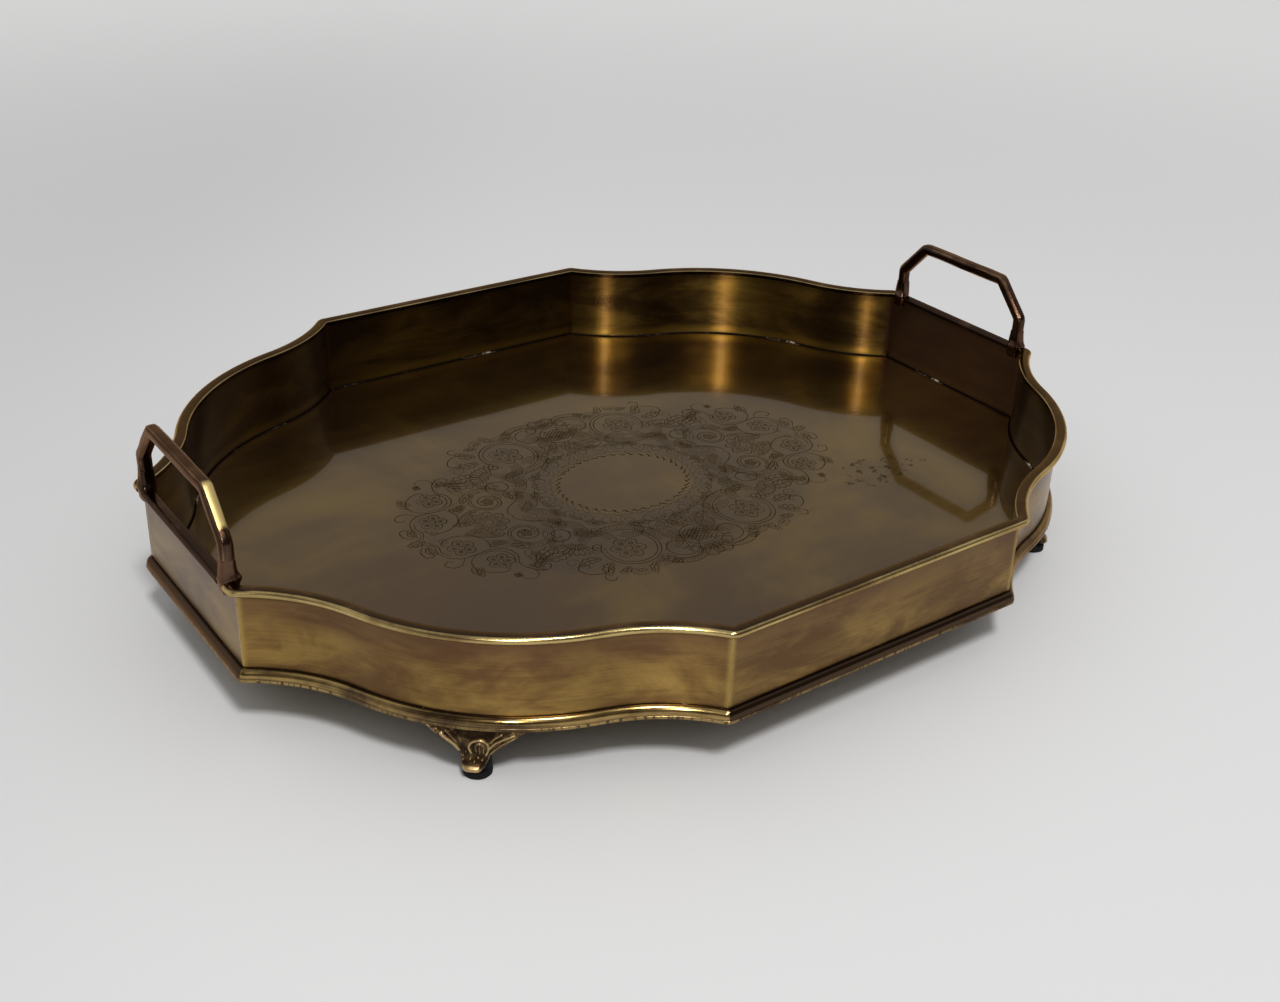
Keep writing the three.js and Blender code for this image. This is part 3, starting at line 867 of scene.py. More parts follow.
def ovalRings():  # scrolls, crescents and leaves packed round the oval
    lines = []
    teeth = engraving["teeth"]
    for k in range(teeth):
        line = []
        for i in range(7):
            a = math.radians(360 * (k + i / 6) / teeth)
            out = 1.10 + (0.06 + 0.02 * math.sin(k * 1.7)) * math.sin(math.pi * i / 6)
            line.append(onOval(a, out, out))
        lines.append(line)
    motifs = engraving["ringMotifs"]
    for k in range(motifs):
        a = 2 * math.pi * (k + 0.5) / motifs
        centre = onOval(a, 1.30, 1.34)
        facing = math.degrees(math.atan2(centre[1], centre[0]))
        way = 1 if k % 2 else -1
        lines.append(curl(centre, 3.9, 0.8, facing + 180, 1.6 * way, 28))
        lines += gills(onOval(a + 0.11, 1.30, 1.34), 1.6, 3.4, facing - 70, facing + 80, 6)
        lines += leafSpray((centre[0] * 1.07, centre[1] * 1.07), facing + 55 * way, 6.6, 1.5, 3, 0.5 * way)
    motifs = engraving["outerMotifs"]
    medallions = [((x * 30.6, y * 45.8), 17) for x in (1, -1) for y in (1, -1)]
    for k in range(motifs):
        a = 2 * math.pi * (k + 0.5) / motifs
        centre = onOval(a, 1.72, 1.70)
        facing = math.degrees(math.atan2(centre[1], centre[0]))
        way = 1 if k % 2 else -1
        if clear(centre, medallions):
            lines += gills(centre, 2.2, 5.0, facing + 60 * way, facing + 60 * way + 190, 11)
            lines.append(curl(centre, 2.0, 0.5, facing, 1.3 * way, 14))
    return lines


def mirrored(lines, across, along):
    made = []
    for flipX in (1, -1) if across else (1,):
        for flipY in (1, -1) if along else (1,):
            made += [[(flipX * x, flipY * y) for x, y in line] for line in lines]
    return made


def engrave(name, lines, width, material):
    points = []
    faces = []
    bottom = floor["top"] - 0.01
    for line in lines:
        first = len(points)
        for i, (x, y) in enumerate(line):
            before = line[max(i - 1, 0)]
            after = line[min(i + 1, len(line) - 1)]
            wayX = after[0] - before[0]
            wayY = after[1] - before[1]
            length = math.hypot(wayX, wayY) or 1
            taper = 0.35 + 0.65 * min(1, 3 * min(i, len(line) - 1 - i) / len(line) + 0.2)
            shake = 0.16 * noise.noise(Vector((x * 0.35, y * 0.35, width)))
            half = width * taper * (1 + shake) / 2
            sideX = -wayY / length * half
            sideY = wayX / length * half
            x = x * engraving["stretch"] + engraving["centre"][0] + shake
            y += engraving["centre"][1] + shake
            points += [(x + sideX, y + sideY, bottom), (x - sideX, y - sideY, bottom),
                       (x, y, floor["top"] + engraving["proud"])]
        made = ringFaces(len(line), 3)
        faces += [tuple(first + corner for corner in face) for face in made]
    return makePiece(name, points, faces, material)


cutBrass = engravedBrass()
engrave("engraved_scrolls", mirrored(quarterScrolls(), True, True), engraving["line"], cutBrass)
engrave("engraved_filling", mirrored(quarterFilling(), True, True), engraving["fine"], cutBrass)
engrave("engraved_teeth", ovalTeeth(), engraving["bold"], cutBrass)
engrave("engraved_rings", ovalRings(), engraving["fine"], cutBrass)
axisLines = blossom((67, 0), 8.4, 8) + leafSpray((96.4, 0), 0, 8, 2.2, 4, 0)
engrave("engraved_end_blossoms", mirrored(axisLines, True, False), engraving["line"], cutBrass)
axisLines = lattice((0, 51.4), 7.2, 6, 1.8) + [curl((0, 51.4), 7.6, 7.6, 0, 1, 24)]
axisLines += leafSpray((0, 60), 90, 8, 2.6, 4, 0) + blossom((0, 39), 5, 6)
engrave("engraved_side_lattices", mirrored(axisLines, False, True), engraving["line"], cutBrass)
print("engraving")


# Handles

handle = {
    "width": 5,
    "bevel": 1.6,
    "legHalf": 37,
    "topHalf": 24,
    "legBottom": 51.9,
    "bendHeight": 69.8,
    "gripHeight": 84.3,
    "corner": 1.3,
    "brown": (0.034, 0.017, 0.011),
    "copper": (0.155, 0.082, 0.048),
    "edge": (0.36, 0.21, 0.10),
    "gold": (0.66, 0.50, 0.20),
    "tint": (0.80, 0.56, 0.42, 1),
}


def barBrass():
    f = finish("barBrass")
    along = f.axis(f.lay, "X")
    edge = f.axis(f.lay, "Y")
    broad = f.clouds(f.object, 60, 5, 0.65)
    drawn = f.clouds(f.vector(along * 30, f.axis(f.lay, "Z") * 1500, edge * 0.02), 1.0, 4, 0.6)
    colour = f.mix((broad * 0.6 + drawn * 0.5).ramp(0.46, 0.80), handle["brown"], handle["copper"])
    worn = (edge + broad * 0.0005).ramp(0.0013, 0.0018) * (broad * 0.7 + drawn * 0.4).ramp(0.42, 0.60)
    colour = f.mix(worn * 0.6, colour, handle["edge"])
    # a painted highlight: on the slope next to the left hand, the upper and inner faces, which face the
    # lamp, are coloured bright gold
    beside = f.axis(f.object, "Y")
    sloping = beside.ramp(-0.0235, -0.0255) * beside.ramp(-0.0365, -0.0350)
    sloping = sloping * f.axis(f.object, "X").ramp(0.01, -0.01)
    facing = f.node("NewGeometry", out="Normal")
    paintedHighlight = f.axis(facing, "Z").ramp(0.34, 0.42) * f.axis(facing, "X").ramp(-0.5, -0.35) * sloping
    colour = f.mix(paintedHighlight * 0.95, colour, handle["gold"])
    marks = f.bump(drawn + broad * 1.5, 0.00005, 0.5)
    rough = 0.16 + 0.16 * broad + paintedHighlight * 0.18
    return f.surface(Base_Color=colour, Roughness=rough, Metallic=1.0, Normal=marks,
                     Specular_Tint=handle["tint"], Coat_Weight=0.2, Coat_Roughness=0.06)


def barRoute():  # the axis of the bar as places (y, z), rounded at its bends
    bends = [
        (-handle["legHalf"], handle["legBottom"]),
        (-handle["legHalf"], handle["bendHeight"]),
        (-handle["topHalf"], handle["gripHeight"]),
        (handle["topHalf"], handle["gripHeight"]),
        (handle["legHalf"], handle["bendHeight"]),
        (handle["legHalf"], handle["legBottom"]),
    ]
    route = []
    for before, at, after in zip(bends, bends[1:], bends[2:]):
        start = Vector(at) + (Vector(before) - Vector(at)).normalized() * handle["corner"]
        end = Vector(at) + (Vector(after) - Vector(at)).normalized() * handle["corner"]
        last = Vector(route[-1]) if route else Vector(bends[0])
        steps = max(2, round((start - last).length / 2.5))
        route += [tuple(last.lerp(start, i / steps)) for i in range(1 if route else 0, steps)]
        route += [tuple(start)] + bend(tuple(start), at, tuple(end), 5)
    last = Vector(route[-1])
    steps = 7
    route += [tuple(last.lerp(Vector(bends[-1]), i / steps)) for i in range(1, steps + 1)]
    return route


def barSection():  # square with rounded bevels, as places (across, outward)
    half = handle["width"] / 2
    flat = half - handle["bevel"]
    points = []
    for turn in range(4):
        a = turn * 90
        for across, up in ((flat, half), (flat + 0.45, half - 0.08), (flat + 0.78, half - 0.32),
                           (half - 0.08, flat + 0.45), (half, flat), (half, 0)):
            c, s = math.cos(math.radians(a)), math.sin(math.radians(a))
            points.append((across * c + up * s, up * c - across * s))
    return points


def makeHandle(end, x, material):
    route = barRoute()
    section = barSection()
    half = handle["width"] / 2
    points = []
    lay = []
    along = 0
    for i, at in enumerate(route):
        here = Vector(at)
        before = Vector(route[max(i - 1, 0)])
        after = Vector(route[min(i + 1, len(route) - 1)])
        way = (after - before).normalized()
        out = Vector((-way.y, way.x))
        along += (here - before).length
        for k, (across, up) in enumerate(section):
            lump = 0.05 * (noise.noise(Vector((here.x * 0.11 + x * 7, here.y * 0.11, k * 0.35))) - 1)
            place = here + out * up * (1 + lump)
            points.append((x * (plan["halfLength"] + across * (1 + lump)), place.x, place.y))
            lay.append((along, abs(abs(across) - abs(up)) * -1 + half - 0.6, k * 0.9))
    makePiece(f"bar_{end}", points, ringFaces(len(route), len(section)), material,
              [f"handle_{end}"], lay, 30)


gripBrass = barBrass()
for end, x in ends:
    makeHandle(end, x, gripBrass)
print("handles")


# Feet

foot = {
    "bottom": 2.5,
    "height": 17.4,
    "wingHalf": 17.3,
    "sweep": 1.35,
    "ankleHalf": 4.9,
    "ankleRise": 5.4,
    "toeHalf": 4.0,
    "toeShift": -1.0,
    "profile": ((1.0, 0), (2.3, 1.1), (2.4, 2.4), (1.2, 4.2),  # place out from the wall, height
                (0.8, 6.4), (1.5, 10), (2.0, 13.4), (1.8, 17.4)),
    "thick": 2.2,
    "edge": 0.8,
    "seat": 4.4,
    "across": 88,
    "up": 72,
    "gold": (0.50, 0.35, 0.16),
    "brown": (0.060, 0.031, 0.014),
    "patinaAndShade": (0.010, 0.006, 0.004),
}


def castBrass():
    f = finish("castBrass")
    relief = f.axis(f.lay, "X")
    broad = f.clouds(f.object, 220, 5, 0.65)
    pits = f.clouds(f.object, 900, 4, 0.7)
    high = (relief + broad * 0.0003).ramp(0.00030, 0.00072)
    low = (relief + broad * 0.0003).ramp(0.00022, -0.0001)
    colour = f.mix(broad.ramp(0.4, 0.7) * 0.4, foot["brown"], foot["gold"])
    colour = f.mix(high, colour, foot["gold"])
    colour = f.mix(low * 0.85, colour, foot["patinaAndShade"])
    rough = 0.24 + 0.22 * pits + low * 0.2
    return f.surface(Base_Color=colour, Roughness=rough, Metallic=1.0,
                     Normal=f.bump(pits + broad, 0.00007, 0.6))


def footHalf(height):
    if height >= foot["ankleRise"]:
        rise = (height - foot["ankleRise"]) / (foot["height"] - foot["ankleRise"])
        return foot["ankleHalf"] + (foot["wingHalf"] - foot["ankleHalf"]) * rise ** foot["sweep"]
    drop = 1 - height / foot["ankleRise"]
    taper = foot["ankleHalf"] + (foot["toeHalf"] - foot["ankleHalf"]) * min(1, 2 * drop)
    return taper * math.sqrt(1 - (0.8 * max(0, 2 * drop - 1)) ** 2)


def footStrokes():  # raised ornament as (points of a line seen from the front, half width, height)
    strokes = [
        (through([(-1.2, 8.0), (-1.8, 10.6), (-0.6, 12.9), (1.9, 13.8), (4.2, 12.6), (4.5, 9.8),
                  (3.6, 7.2)]), 0.5, 0.75),
        (through([(0.6, 8.6), (0.3, 11.0), (1.7, 12.3), (3.0, 10.9), (2.8, 8.2)]), 0.34, 0.6),
        (through([(1.6, 7.6), (1.6, 10.6)]), 0.34, 0.55),
        (through([(-11.0, 14.6), (-9.0, 12.9), (-6.9, 11.2), (-5.3, 8.7)]), 0.85, 0.8),
        (through([(-5.3, 8.7), (-5.9, 8.0), (-6.8, 8.6)]), 0.42, 0.6),
        (through([(-9.4, 16.2), (-7.6, 14.4), (-6.0, 12.6)]), 0.4, 0.55),
        (through([(-7.0, 16.6), (-5.4, 14.8), (-4.4, 12.6)]), 0.34, 0.45),
        (curl((-12.9, 15.2), 1.2, 0.4, 200, -1.2, 16), 0.36, 0.55),
        (through([(-15.8, 16.8), (-14.4, 15.6), (-13.4, 13.9)]), 0.4, 0.5),
        (through([(-4.6, 6.6), (-5.0, 5.0), (-5.2, 3.4)]), 0.4, 0.4),
        (through([(4.8, 7.4), (6.4, 9.6), (9.2, 12.3), (13.0, 14.2), (16.8, 15.9)]), 0.38, 0.7),
        (through([(5.0, 10.4), (7.0, 12.9), (10.0, 14.6), (13.0, 15.8)]), 0.5, 0.65),
        (through([(5.4, 13.0), (6.8, 14.8), (9.0, 16.2)]), 0.42, 0.55),
        (through([(6.6, 11.2), (8.6, 13.4)]), 0.3, 0.5),
        (through([(4.4, 7.0), (4.3, 5.2), (3.4, 3.4)]), 0.32, 0.45),
        (curl((12.4, 16.2), 0.8, 0.3, 0, 1, 10), 0.3, 0.4),
        (through([(-3.6, 1.9), (-1.2, 2.1), (1.0, 1.8)]), 1.5, 0.7),
    ]
    beads = ((-4.0, 6.1, 0.55), (1.0, 5.9, 0.55), (-4.2, 4.4, 0.45), (2.3, 5.0, 0.45), (-1.6, 5.2, 0.4),
             (-0.2, 4.3, 0.4), (-8.6, 10.0, 0.4), (8.0, 10.2, 0.35), (-2.9, 8.2, 0.4))
    strokes += [([(x, z)], r, 0.55) for x, z, r in beads]
    return strokes


def footRelief(across, heights):
    relief = np.zeros_like(across)
    for line, halfWidth, rise in footStrokes():
        places = np.array(line)
        way = (across[..., None] - places[:, 0]) ** 2 + (heights[..., None] - places[:, 1]) ** 2
        near = np.sqrt(way.min(-1)) / halfWidth
        relief = np.maximum(relief, rise * np.sqrt(np.clip(1 - near ** 2, 0, 1)))
        relief -= 0.12 * np.exp(-((near - 1.3) / 0.35) ** 2) * (relief < 0.05)
    return relief


def atBow(x, y, across, out, height):  # a place seen from outside at the middle of a bow
    outX, outY = x * bowMiddle[2], y * bowMiddle[3]
    return (x * bowMiddle[0] + across * outY + out * outX,
            y * bowMiddle[1] - across * outX + out * outY, height)


def makeFoot(name, x, y, material, standsFor):
    rows = foot["up"] + 1
    columns = foot["across"] + 1
    height = foot["height"] * np.linspace(0, 1, rows) ** 1.05
    half = np.array([footHalf(h) for h in height])
    share = np.linspace(-1, 1, columns)
    across = half[:, None] * np.sin(share * 1.35)[None, :] / math.sin(1.35)
    shift = foot["toeShift"] * np.clip(1 - height / 7.5, 0, 1)[:, None]
    heights = np.repeat(height[:, None], columns, 1)
    outs, levels = zip(*through(foot["profile"], 12))
    profile = np.interp(height, levels, outs)[:, None]
    spread = (heights / foot["height"])
    edge = np.abs(across) / half[:, None]
    turned = 1.9 * (1 - spread) ** 2 + 0.55
    relief = footRelief(across + shift, heights)
    recess = 0.7 * np.exp(-((across + 0.4) / 5.4) ** 4 - ((heights - 16.4) / 1.4) ** 2)
    relief = relief - recess - 0.1
    follow = across ** 2 / (2 * (bowRadius + moulding["proud"]))
    fade = np.clip((1 - edge) * 9, 0.25, 1)
    front = profile + relief * fade - turned * edge ** 4 - follow
    depth = foot["thick"] + (foot["seat"] - foot["thick"]) * spread ** 12
    back = profile - depth - (turned + foot["edge"] - depth) * edge ** 8 - follow
    back = np.minimum(back, np.where(heights < 5.2, -1.3, 9))
    back = np.minimum(back, front - 0.35)
    points = []
    lay = []
    for surface, kept in ((front, relief), (back, relief * 0 - 0.2)):
        for r in range(rows):
            for c in range(columns):
                a = -(across[r, c] + shift[r, 0]) * x * y
                points.append(atBow(x, y, a, surface[r, c], foot["bottom"] + heights[r, c]))
                lay.append((kept[r, c], edge[r, c], heights[r, c]))
    faces = []
    other = rows * columns
    for r in range(rows - 1):
        for c in range(columns - 1):
            a = r * columns + c
            b = a + columns
            faces.append((a, a + 1, b + 1, b))
            faces.append((other + b, other + b + 1, other + a + 1, other + a))
        for c in (0, columns - 1):
            a = r * columns + c
            faces.append((a, a + columns, other + a + columns, other + a))
    for r in (0, rows - 1):
        for c in range(columns - 1):
            a = r * columns + c
            faces.append((a, other + a, other + a + 1, a + 1))
    makePiece(name, points, faces, material, standsFor, lay, 60)


pad = {
    "radius": 4.7,
    "height": 7.2,
    "tread": 2.4,
    "centre": -3.0,
    "step": -1.6,
    "rings": 12,
    "around": 56,
    "black": (0.004, 0.004, 0.0045),
    "grey": (0.014, 0.014, 0.015),
}


def padRubber():
    f = finish("padRubber")
    broad = f.clouds(f.object, 420, 6, 0.7)
    fine = f.clouds(f.object, 1900, 4, 0.7)
    colour = f.mix((broad * 0.7 + fine * 0.4).ramp(0.45, 0.8), pad["black"], pad["grey"])
    rough = 0.62 + 0.3 * fine
    return f.surface(Base_Color=colour, Roughness=rough, Normal=f.bump(broad + fine * 0.6, 0.0002, 0.7),
                     Specular_IOR_Level=0.2)


def makePad(name, x, y, material, standsFor):
    # a moulded block with a step in front for the toe, rough at its edges
    count = pad["around"]
    rings = []
    for height, share in ((0, 0.3), (0, 0.7), (0, 1.0), (0.25, 1.07), (1.1, 1.07), (1.9, 1.06), (2.6, 1.02),
                          (3.9, 1.0), (5.3, 1.0), (6.6, 1.0), (7.0, 0.97)):
        rings.append((height, share, False))
    for k in range(pad["rings"]):
        rings.append((pad["height"], 0.93 * (1 - (k / pad["rings"])) + 0.02, True))
    points = []
    for height, share, top in rings:
        for i in range(count):
            angle = 2 * math.pi * i / count
            seed = Vector((math.cos(angle) * 1.7 + x * 5, math.sin(angle) * 1.7 + y * 5, height * 0.7))
            rough = noise.noise(seed * 1.3)
            radius = pad["radius"] * share * (0.985 + 0.035 * rough)
            a = radius * math.cos(angle)
            o = pad["centre"] + radius * math.sin(angle)
            slope = min(1, max(0, (o - pad["step"]) / 0.35 + 0.5))
            limit = pad["height"] + (pad["tread"] - pad["height"]) * slope
            z = min(height, limit) + (0.12 * rough if top else 0)
            if height == 0 and share > 0.6:
                notch = math.exp(-((angle - 1.75) / 0.12) ** 2)
                notch += 0.8 * math.exp(-((angle - 1.2) / 0.09) ** 2)
                z += 0.55 * notch
            z = max(0, z)
            points.append(atBow(x, y, a, o, z))
    faces = ringFaces(len(rings), count)
    makePiece(name, points, faces, material, standsFor, None, 50)


footBrass = castBrass()
rubber = padRubber()
for place, x, y in corners:
    makeFoot(f"scroll_foot_{place}", x, y, footBrass, [f"foot_{place}"])
    makePad(f"rubber_foot_{place}", x, y, rubber, [f"foot_pad_{place}"])
print("feet and pads")


# Solder and brazing

solder = {
    "silver": (0.50, 0.42, 0.32),
    "brass": (0.52, 0.37, 0.12),
    "tint": (0.35, 0.25, 0.18, 1),
    "black": (0.007, 0.004, 0.003),
    "seamHalf": 0.26,
    "seamSpan": (24.6, 54),
    "fillet": 0.7,
    "collarReach": 3.45,
    "collar": ((51.6, -0.6), (51.8, 0.3), (52.6, 0.6), (53.9, 0.8), (55.2, 0.98),  # height, spread
               (56.2, 1.25), (56.9, 1.3), (57.6, 1.05), (58.5, 0.72), (59.6, 0.46),
               (60.8, 0.28), (62.0, 0.14), (63.2, 0.05), (64.0, 0.0), (64.2, -0.6)),
}


def solderLine():
    f = finish("solderLine")
    out = f.axis(f.lay, "Y")
    along = f.axis(f.lay, "X")
    lumps = f.clouds(f.vector(along * 420, out * 300, 0), 1.0, 5, 0.7)
    patches = f.clouds(f.vector(along * 30, 0, 0), 1.0, 3, 0.6)
    edge = (out + lumps * 0.0004).ramp(-0.00115, -0.00135) * patches.ramp(0.54, 0.66)
    shine = (edge * 0.6).most((lumps * patches).ramp(0.33, 0.39))
    colour = f.mix(shine, solder["black"], solder["silver"])
    rough = 0.45 - 0.25 * shine
    return f.surface(Base_Color=colour, Roughness=rough, Metallic=0.95, Normal=f.bump(lumps, 0.00025, 0.8),
                     Specular_Tint=solder["tint"])


# dark lines: the real dark joint at the top of the moulding, and a painted shadow strip under the rim wire
def patinaAndShadowLine():
    f = finish("patinaAndShadowLine")
    along = f.axis(f.lay, "X")
    lumps = f.clouds(f.vector(along * 500, f.axis(f.object, "Z") * 500, 0), 1.0, 5, 0.7)
    bare = lumps.ramp(0.62, 0.72)
    colour = f.mix(bare * 0.6, solder["black"], solder["silver"])
    return f.surface(Base_Color=colour, Roughness=0.55 - 0.2 * bare, Metallic=0.8,
                     Normal=f.bump(lumps, 0.0002, 0.7), Specular_Tint=solder["tint"])


def seamBrass():
    f = finish("seamBrass")
    height = f.axis(f.object, "Z")
    filed = f.clouds(f.scaled(f.object, (900, 900, 60)), 1.0, 4, 0.7)
    broad = f.clouds(f.object, 90, 4, 0.6)
    colour = f.mix((filed * 0.6 + broad * 0.5).ramp(0.4, 0.7), rim["brown"], solder["brass"])
    colour = f.mix(height.ramp(0.0262, 0.0248) * 0.8, colour, solder["black"])
    return f.surface(Base_Color=colour, Roughness=0.22 + 0.15 * broad, Metallic=1.0,
                     Normal=f.bump(filed + broad, 0.00005, 0.5))


def makeSeam(name, corner, flip, material):
    # a filed bead up the outside of a wall's corner
    outX, outY = corner[2:]
    length = math.hypot(outX, outY)
    outX, outY = outX / length, outY / length
    half = solder["seamHalf"]
    points = []
    low, high = solder["seamSpan"]
    levels = [low + (high - low) * i / 24 for i in range(25)]
    for z in levels:
        swell = 1 + 0.25 * noise.noise(Vector((z * 0.3, corner[0] * flip[0], corner[1] * flip[1])))
        for side, out in ((-0.9, -0.52), (-0.55, 0.02), (0, 0.14), (0.55, 0.02), (0.9, -0.52), (0, -0.7)):
            a = side * half * swell
            o = out * half * 2 * swell
            px = corner[0] - outY * a + outX * o
            py = corner[1] + outX * a + outY * o
            points.append((flip[0] * px, flip[1] * py, z))
    makePiece(name, points, ringFaces(len(levels), 6), material, (), None, 50)


fillet = solder["fillet"]
inner = -wall["sheet"]
jointSection = [
    (inner + 0.05, floor["top"] - 0.05), (inner + 0.05, floor["top"] + fillet),
    (inner - 0.1, floor["top"] + fillet * 0.75), (inner - fillet * 0.45, floor["top"] + fillet * 0.3),
    (inner - fillet, floor["top"] + 0.05), (inner - fillet, floor["top"] - 0.05),
]
ledgeSection = [(-0.05, 24.5), (0.3, 24.5), (0.3, 24.78), (0.15, 24.92), (-0.05, 25.0)]
# a painted shadow: a dark strip on the wall just under the rim wire
lipSection = [(-0.05, 53.55), (-0.05, 52.95), (0.15, 53.25), (0.45, 53.45), (0.45, 53.55)]
jointBrass = solderLine()
patinaAndShadowBlack = patinaAndShadowLine()
seamGold = seamBrass()
for kind, place, flip in lengths:
    sweep(f"solder_{kind}_{place}", wallRuns[kind], jointSection, flip, jointBrass, (), 60)
    sweep(f"patina_foot_{kind}_{place}", mouldRuns[kind], ledgeSection, flip, patinaAndShadowBlack,
          (), 60)
    sweep(f"painted_shadow_lip_{kind}_{place}", rimRuns[kind], lipSection, flip, patinaAndShadowBlack, (), 60)
    if kind == "bowed":
        makeSeam(f"seam_end_{place}", bowedStretch[0], flip, seamGold)
        makeSeam(f"seam_side_{place}", bowedStretch[-1], flip, seamGold)


def makeCollar(name, x, y, material):
    # braze drawn up the foot of a handle's leg and spread over the rim
    half = handle["width"] / 2
    points = []
    lay = []
    count = 32
    for z, spread in solder["collar"]:
        for i in range(count):
            angle = 2 * math.pi * i / count
            c, s = math.cos(angle), math.sin(angle)
            power = 5 - 2.4 * min(1, max(0, spread))
            squareness = (abs(c) ** power + abs(s) ** power) ** (-1 / power)
            lump = noise.noise(Vector((c * 1.1 + x * 3, s * 1.1 + y * 3, z * 0.22)))
            reach = (half - 0.12 + max(spread, 0) * (0.9 + 0.6 * lump) + min(spread, 0)) * squareness
            outward = min(reach * c, solder["collarReach"])
            points.append((x * (plan["halfLength"] + outward), y * handle["legHalf"] + reach * s, z))
            lay.append((z, 0, 0))
    faces = ringFaces(len(solder["collar"]), count)
    makePiece(name, points, faces, material, (), lay, 60)


for place, x, y in corners:
    makeCollar(f"braze_{place}", x, y, gripBrass)
print("solder and brazing")


# Camera, light and stage

camera = {
    "azimuth": -37.771,
    "elevation": 26.516,
    "roll": 2.683,
    "aim": (63.789, 53.985, 0),
    "distance": 725.614,
    "focal": 1539.38,
    "principal": (675.165, 444.015),
    "picture": (1280, 1002),
    "sensor": 36,
}
light = {
    "backdrop": (0.60, 0.60, 0.595),
    "dimRoom": (0.13, 0.12, 0.11),  # the darker part of the room, on the side of dimTurn
    "dimTurn": -14,
    "dimFrom": 0.0,
    "dimTo": 0.6,
    "ambient": (0.60, 0.60, 0.60),
    "skirt": (0.03, 0.03, 0.03),  # the light from low down, up to skyFrom
    "skyFrom": 0.25,
    "skyTo": 0.7,
    "table": (0.82, 0.82, 0.82),
    "tableShadedLeft": (0.72, 0.72, 0.72),
    "right": (0.79, -0.61, 0),  # the way to the right in the picture
    "leftFrom": -0.35,
    "leftTo": -0.05,
    "glow": (0.68, 0.68, 0.675),
    "glowFar": 0.9,
    "glowFrom": 0.40,
    "glowTo": 1.3,
    "keyTurn": -22,  # the key lamp makes the shadow
    "keyRise": 57,
    "keyDistance": 2600,
    "keySize": (0.4, 0.4),
    "keyRadiance": 60.5,
    "stripTurn": -38,  # the strip lamp makes the streaks inside the wall
    "stripRise": 32,
    "stripDistance": 2600,
    "stripSize": (0.19, 0.86),
    "stripRadiance": 44.0,
}


def wayBack(azimuth, elevation):
    a = math.radians(azimuth)
    e = math.radians(elevation)
    return Vector((math.sin(a) * math.cos(e), -math.cos(a) * math.cos(e), math.sin(e)))


def makeCamera():
    back = wayBack(camera["azimuth"], camera["elevation"])
    data = bpy.data.cameras.new("camera")
    data.sensor_fit = "HORIZONTAL"
    data.sensor_width = camera["sensor"]
    width, height = camera["picture"]
    data.lens = camera["focal"] / width * camera["sensor"]
    data.shift_x = (width / 2 - camera["principal"][0]) / width
    data.shift_y = (camera["principal"][1] - height / 2) / width
    right = (-back).cross(Vector((0, 0, 1))).normalized()
    up = right.cross(-back)
    roll = math.radians(camera["roll"])
    tiltedRight = math.cos(roll) * right + math.sin(roll) * up
    tiltedUp = -math.sin(roll) * right + math.cos(roll) * up
    made = bpy.data.objects.new("camera", data)
    turn = Matrix((tiltedRight, tiltedUp, back)).transposed()
    place = (Vector(camera["aim"]) + back * camera["distance"]) * mm
    made.matrix_world = Matrix.Translation(place) @ turn.to_4x4()
    data.clip_start = 0.01
    data.clip_end = 50
    scene.collection.objects.link(made)
    scene.camera = made


def makeLamp(name, place, size, radiance, onlyGloss=False):
    data = bpy.data.lights.new(name, "AREA")
    data.shape = "RECTANGLE"
    data.size = size[0]
    data.size_y = size[1]
    data.energy = radiance * math.pi * size[0] * size[1]
    made = bpy.data.objects.new(name, data)
    made.visible_diffuse = not onlyGloss  # the strip shows in the polish and adds no light to the table
    made.location = place
    made.rotation_mode = "QUATERNION"
    made.rotation_quaternion = place.to_track_quat("Z", "Y")
    scene.collection.objects.link(made)


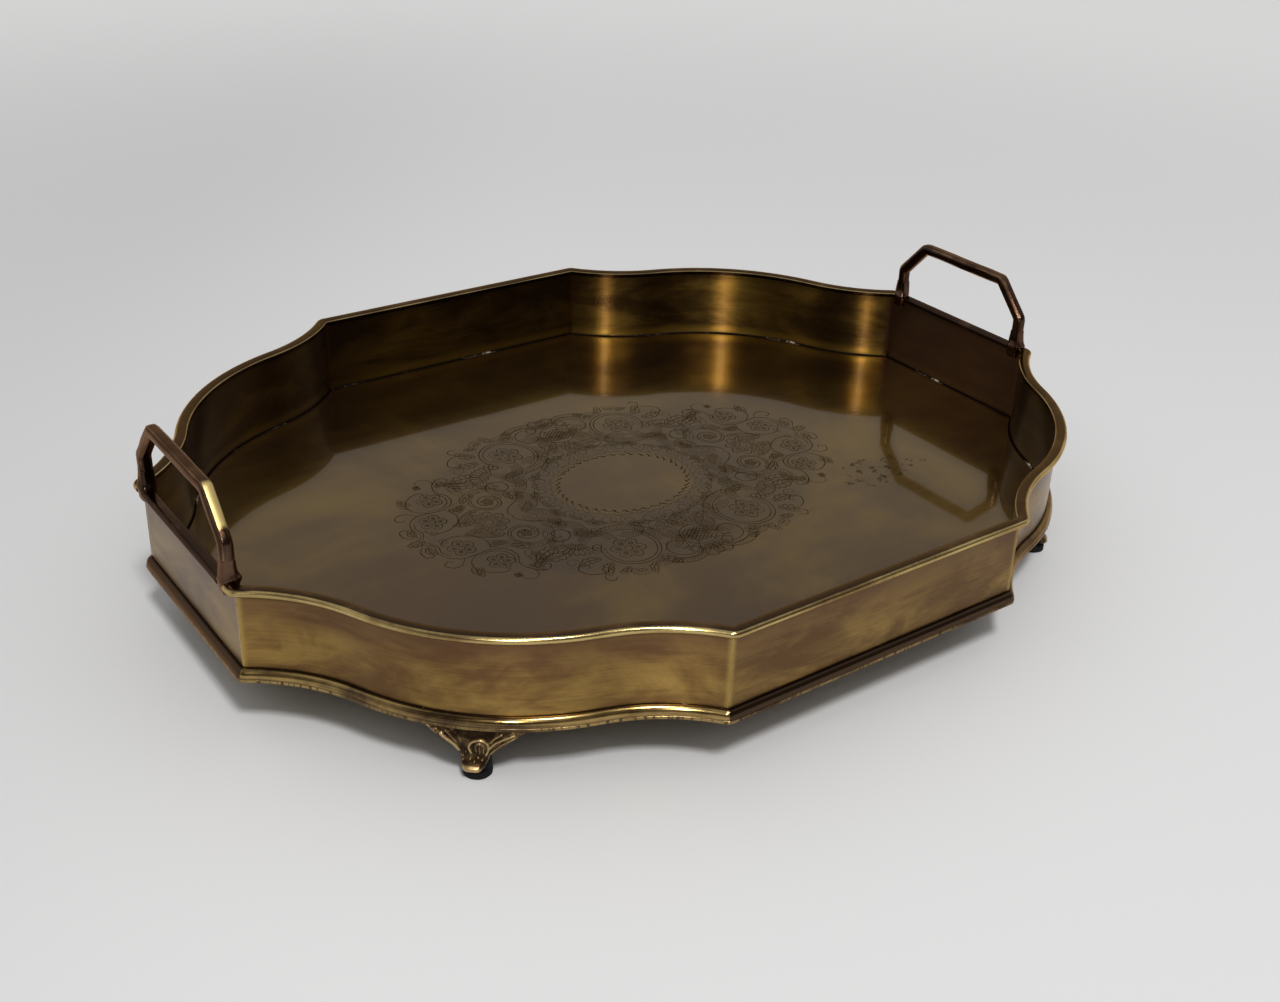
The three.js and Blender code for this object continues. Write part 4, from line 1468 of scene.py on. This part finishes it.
def seenRays(f):
    kinds = ("Is Camera Ray", "Is Glossy Ray", "Is Transmission Ray")
    first, second, third = (f.node("LightPath", out=kind) for kind in kinds)
    return first.most(second).most(third)


def makeStage():
    world = bpy.data.worlds.new("studio")
    scene.world = world
    f = Finish(world)
    way = f.node("TexCoord", out="Generated")
    toward = f.dot(way, wayBack(light["dimTurn"], 0))
    room = f.mix(toward.ramp(light["dimFrom"], light["dimTo"]), light["backdrop"], light["dimRoom"])
    rise = f.axis(way, "Z").ramp(light["skyFrom"], light["skyTo"])
    sky = f.mix(rise, light["skirt"], light["ambient"])
    shown = f.node("Background", None, {"Color": f.mix(seenRays(f), sky, room)})
    f.node("OutputWorld", None, {"Surface": shown})

    f = finish("tablePaper")
    grain = f.clouds(f.object, 900, 3)
    side = f.dot(f.object, light["right"])
    # painted shade: the table is darker towards the left of the picture
    colour = f.mix(side.ramp(light["leftFrom"], light["leftTo"]), light["tableShadedLeft"], light["table"])
    paper = f.shader(Base_Color=colour, Roughness=0.8, Normal=f.bump(grain, 0.00003, 0.3))
    glow = f.node("Emission", None, {"Color": light["glow"]})
    far = f.node("VectorMath", {"operation": "LENGTH"}, {0: f.object}, "Value")
    far = far.ramp(light["glowFrom"], light["glowTo"]) * light["glowFar"]
    share = f.node("LightPath", out="Is Camera Ray") * far
    f.node("OutputMaterial", None, {"Surface": f.node("MixShader", None, {0: share, 1: paper, 2: glow})})
    mesh = bpy.data.meshes.new("table")
    reach = 4
    mesh.from_pydata([(-reach, -reach, 0), (reach, -reach, 0), (reach, reach, 0), (-reach, reach, 0)],
                     [], [(0, 1, 2, 3)])
    mesh.materials.append(f.holder)
    table = bpy.data.objects.new("table", mesh)
    scene.collection.objects.link(table)


makeCamera()
makeStage()
keyWay = wayBack(light["keyTurn"], light["keyRise"])
makeLamp("key", keyWay * light["keyDistance"] * mm, light["keySize"], light["keyRadiance"])
stripWay = wayBack(light["stripTurn"], light["stripRise"])
makeLamp("strip", stripWay * light["stripDistance"] * mm, light["stripSize"], light["stripRadiance"], True)
scene.view_settings.view_transform = "Standard"
print("camera and light")
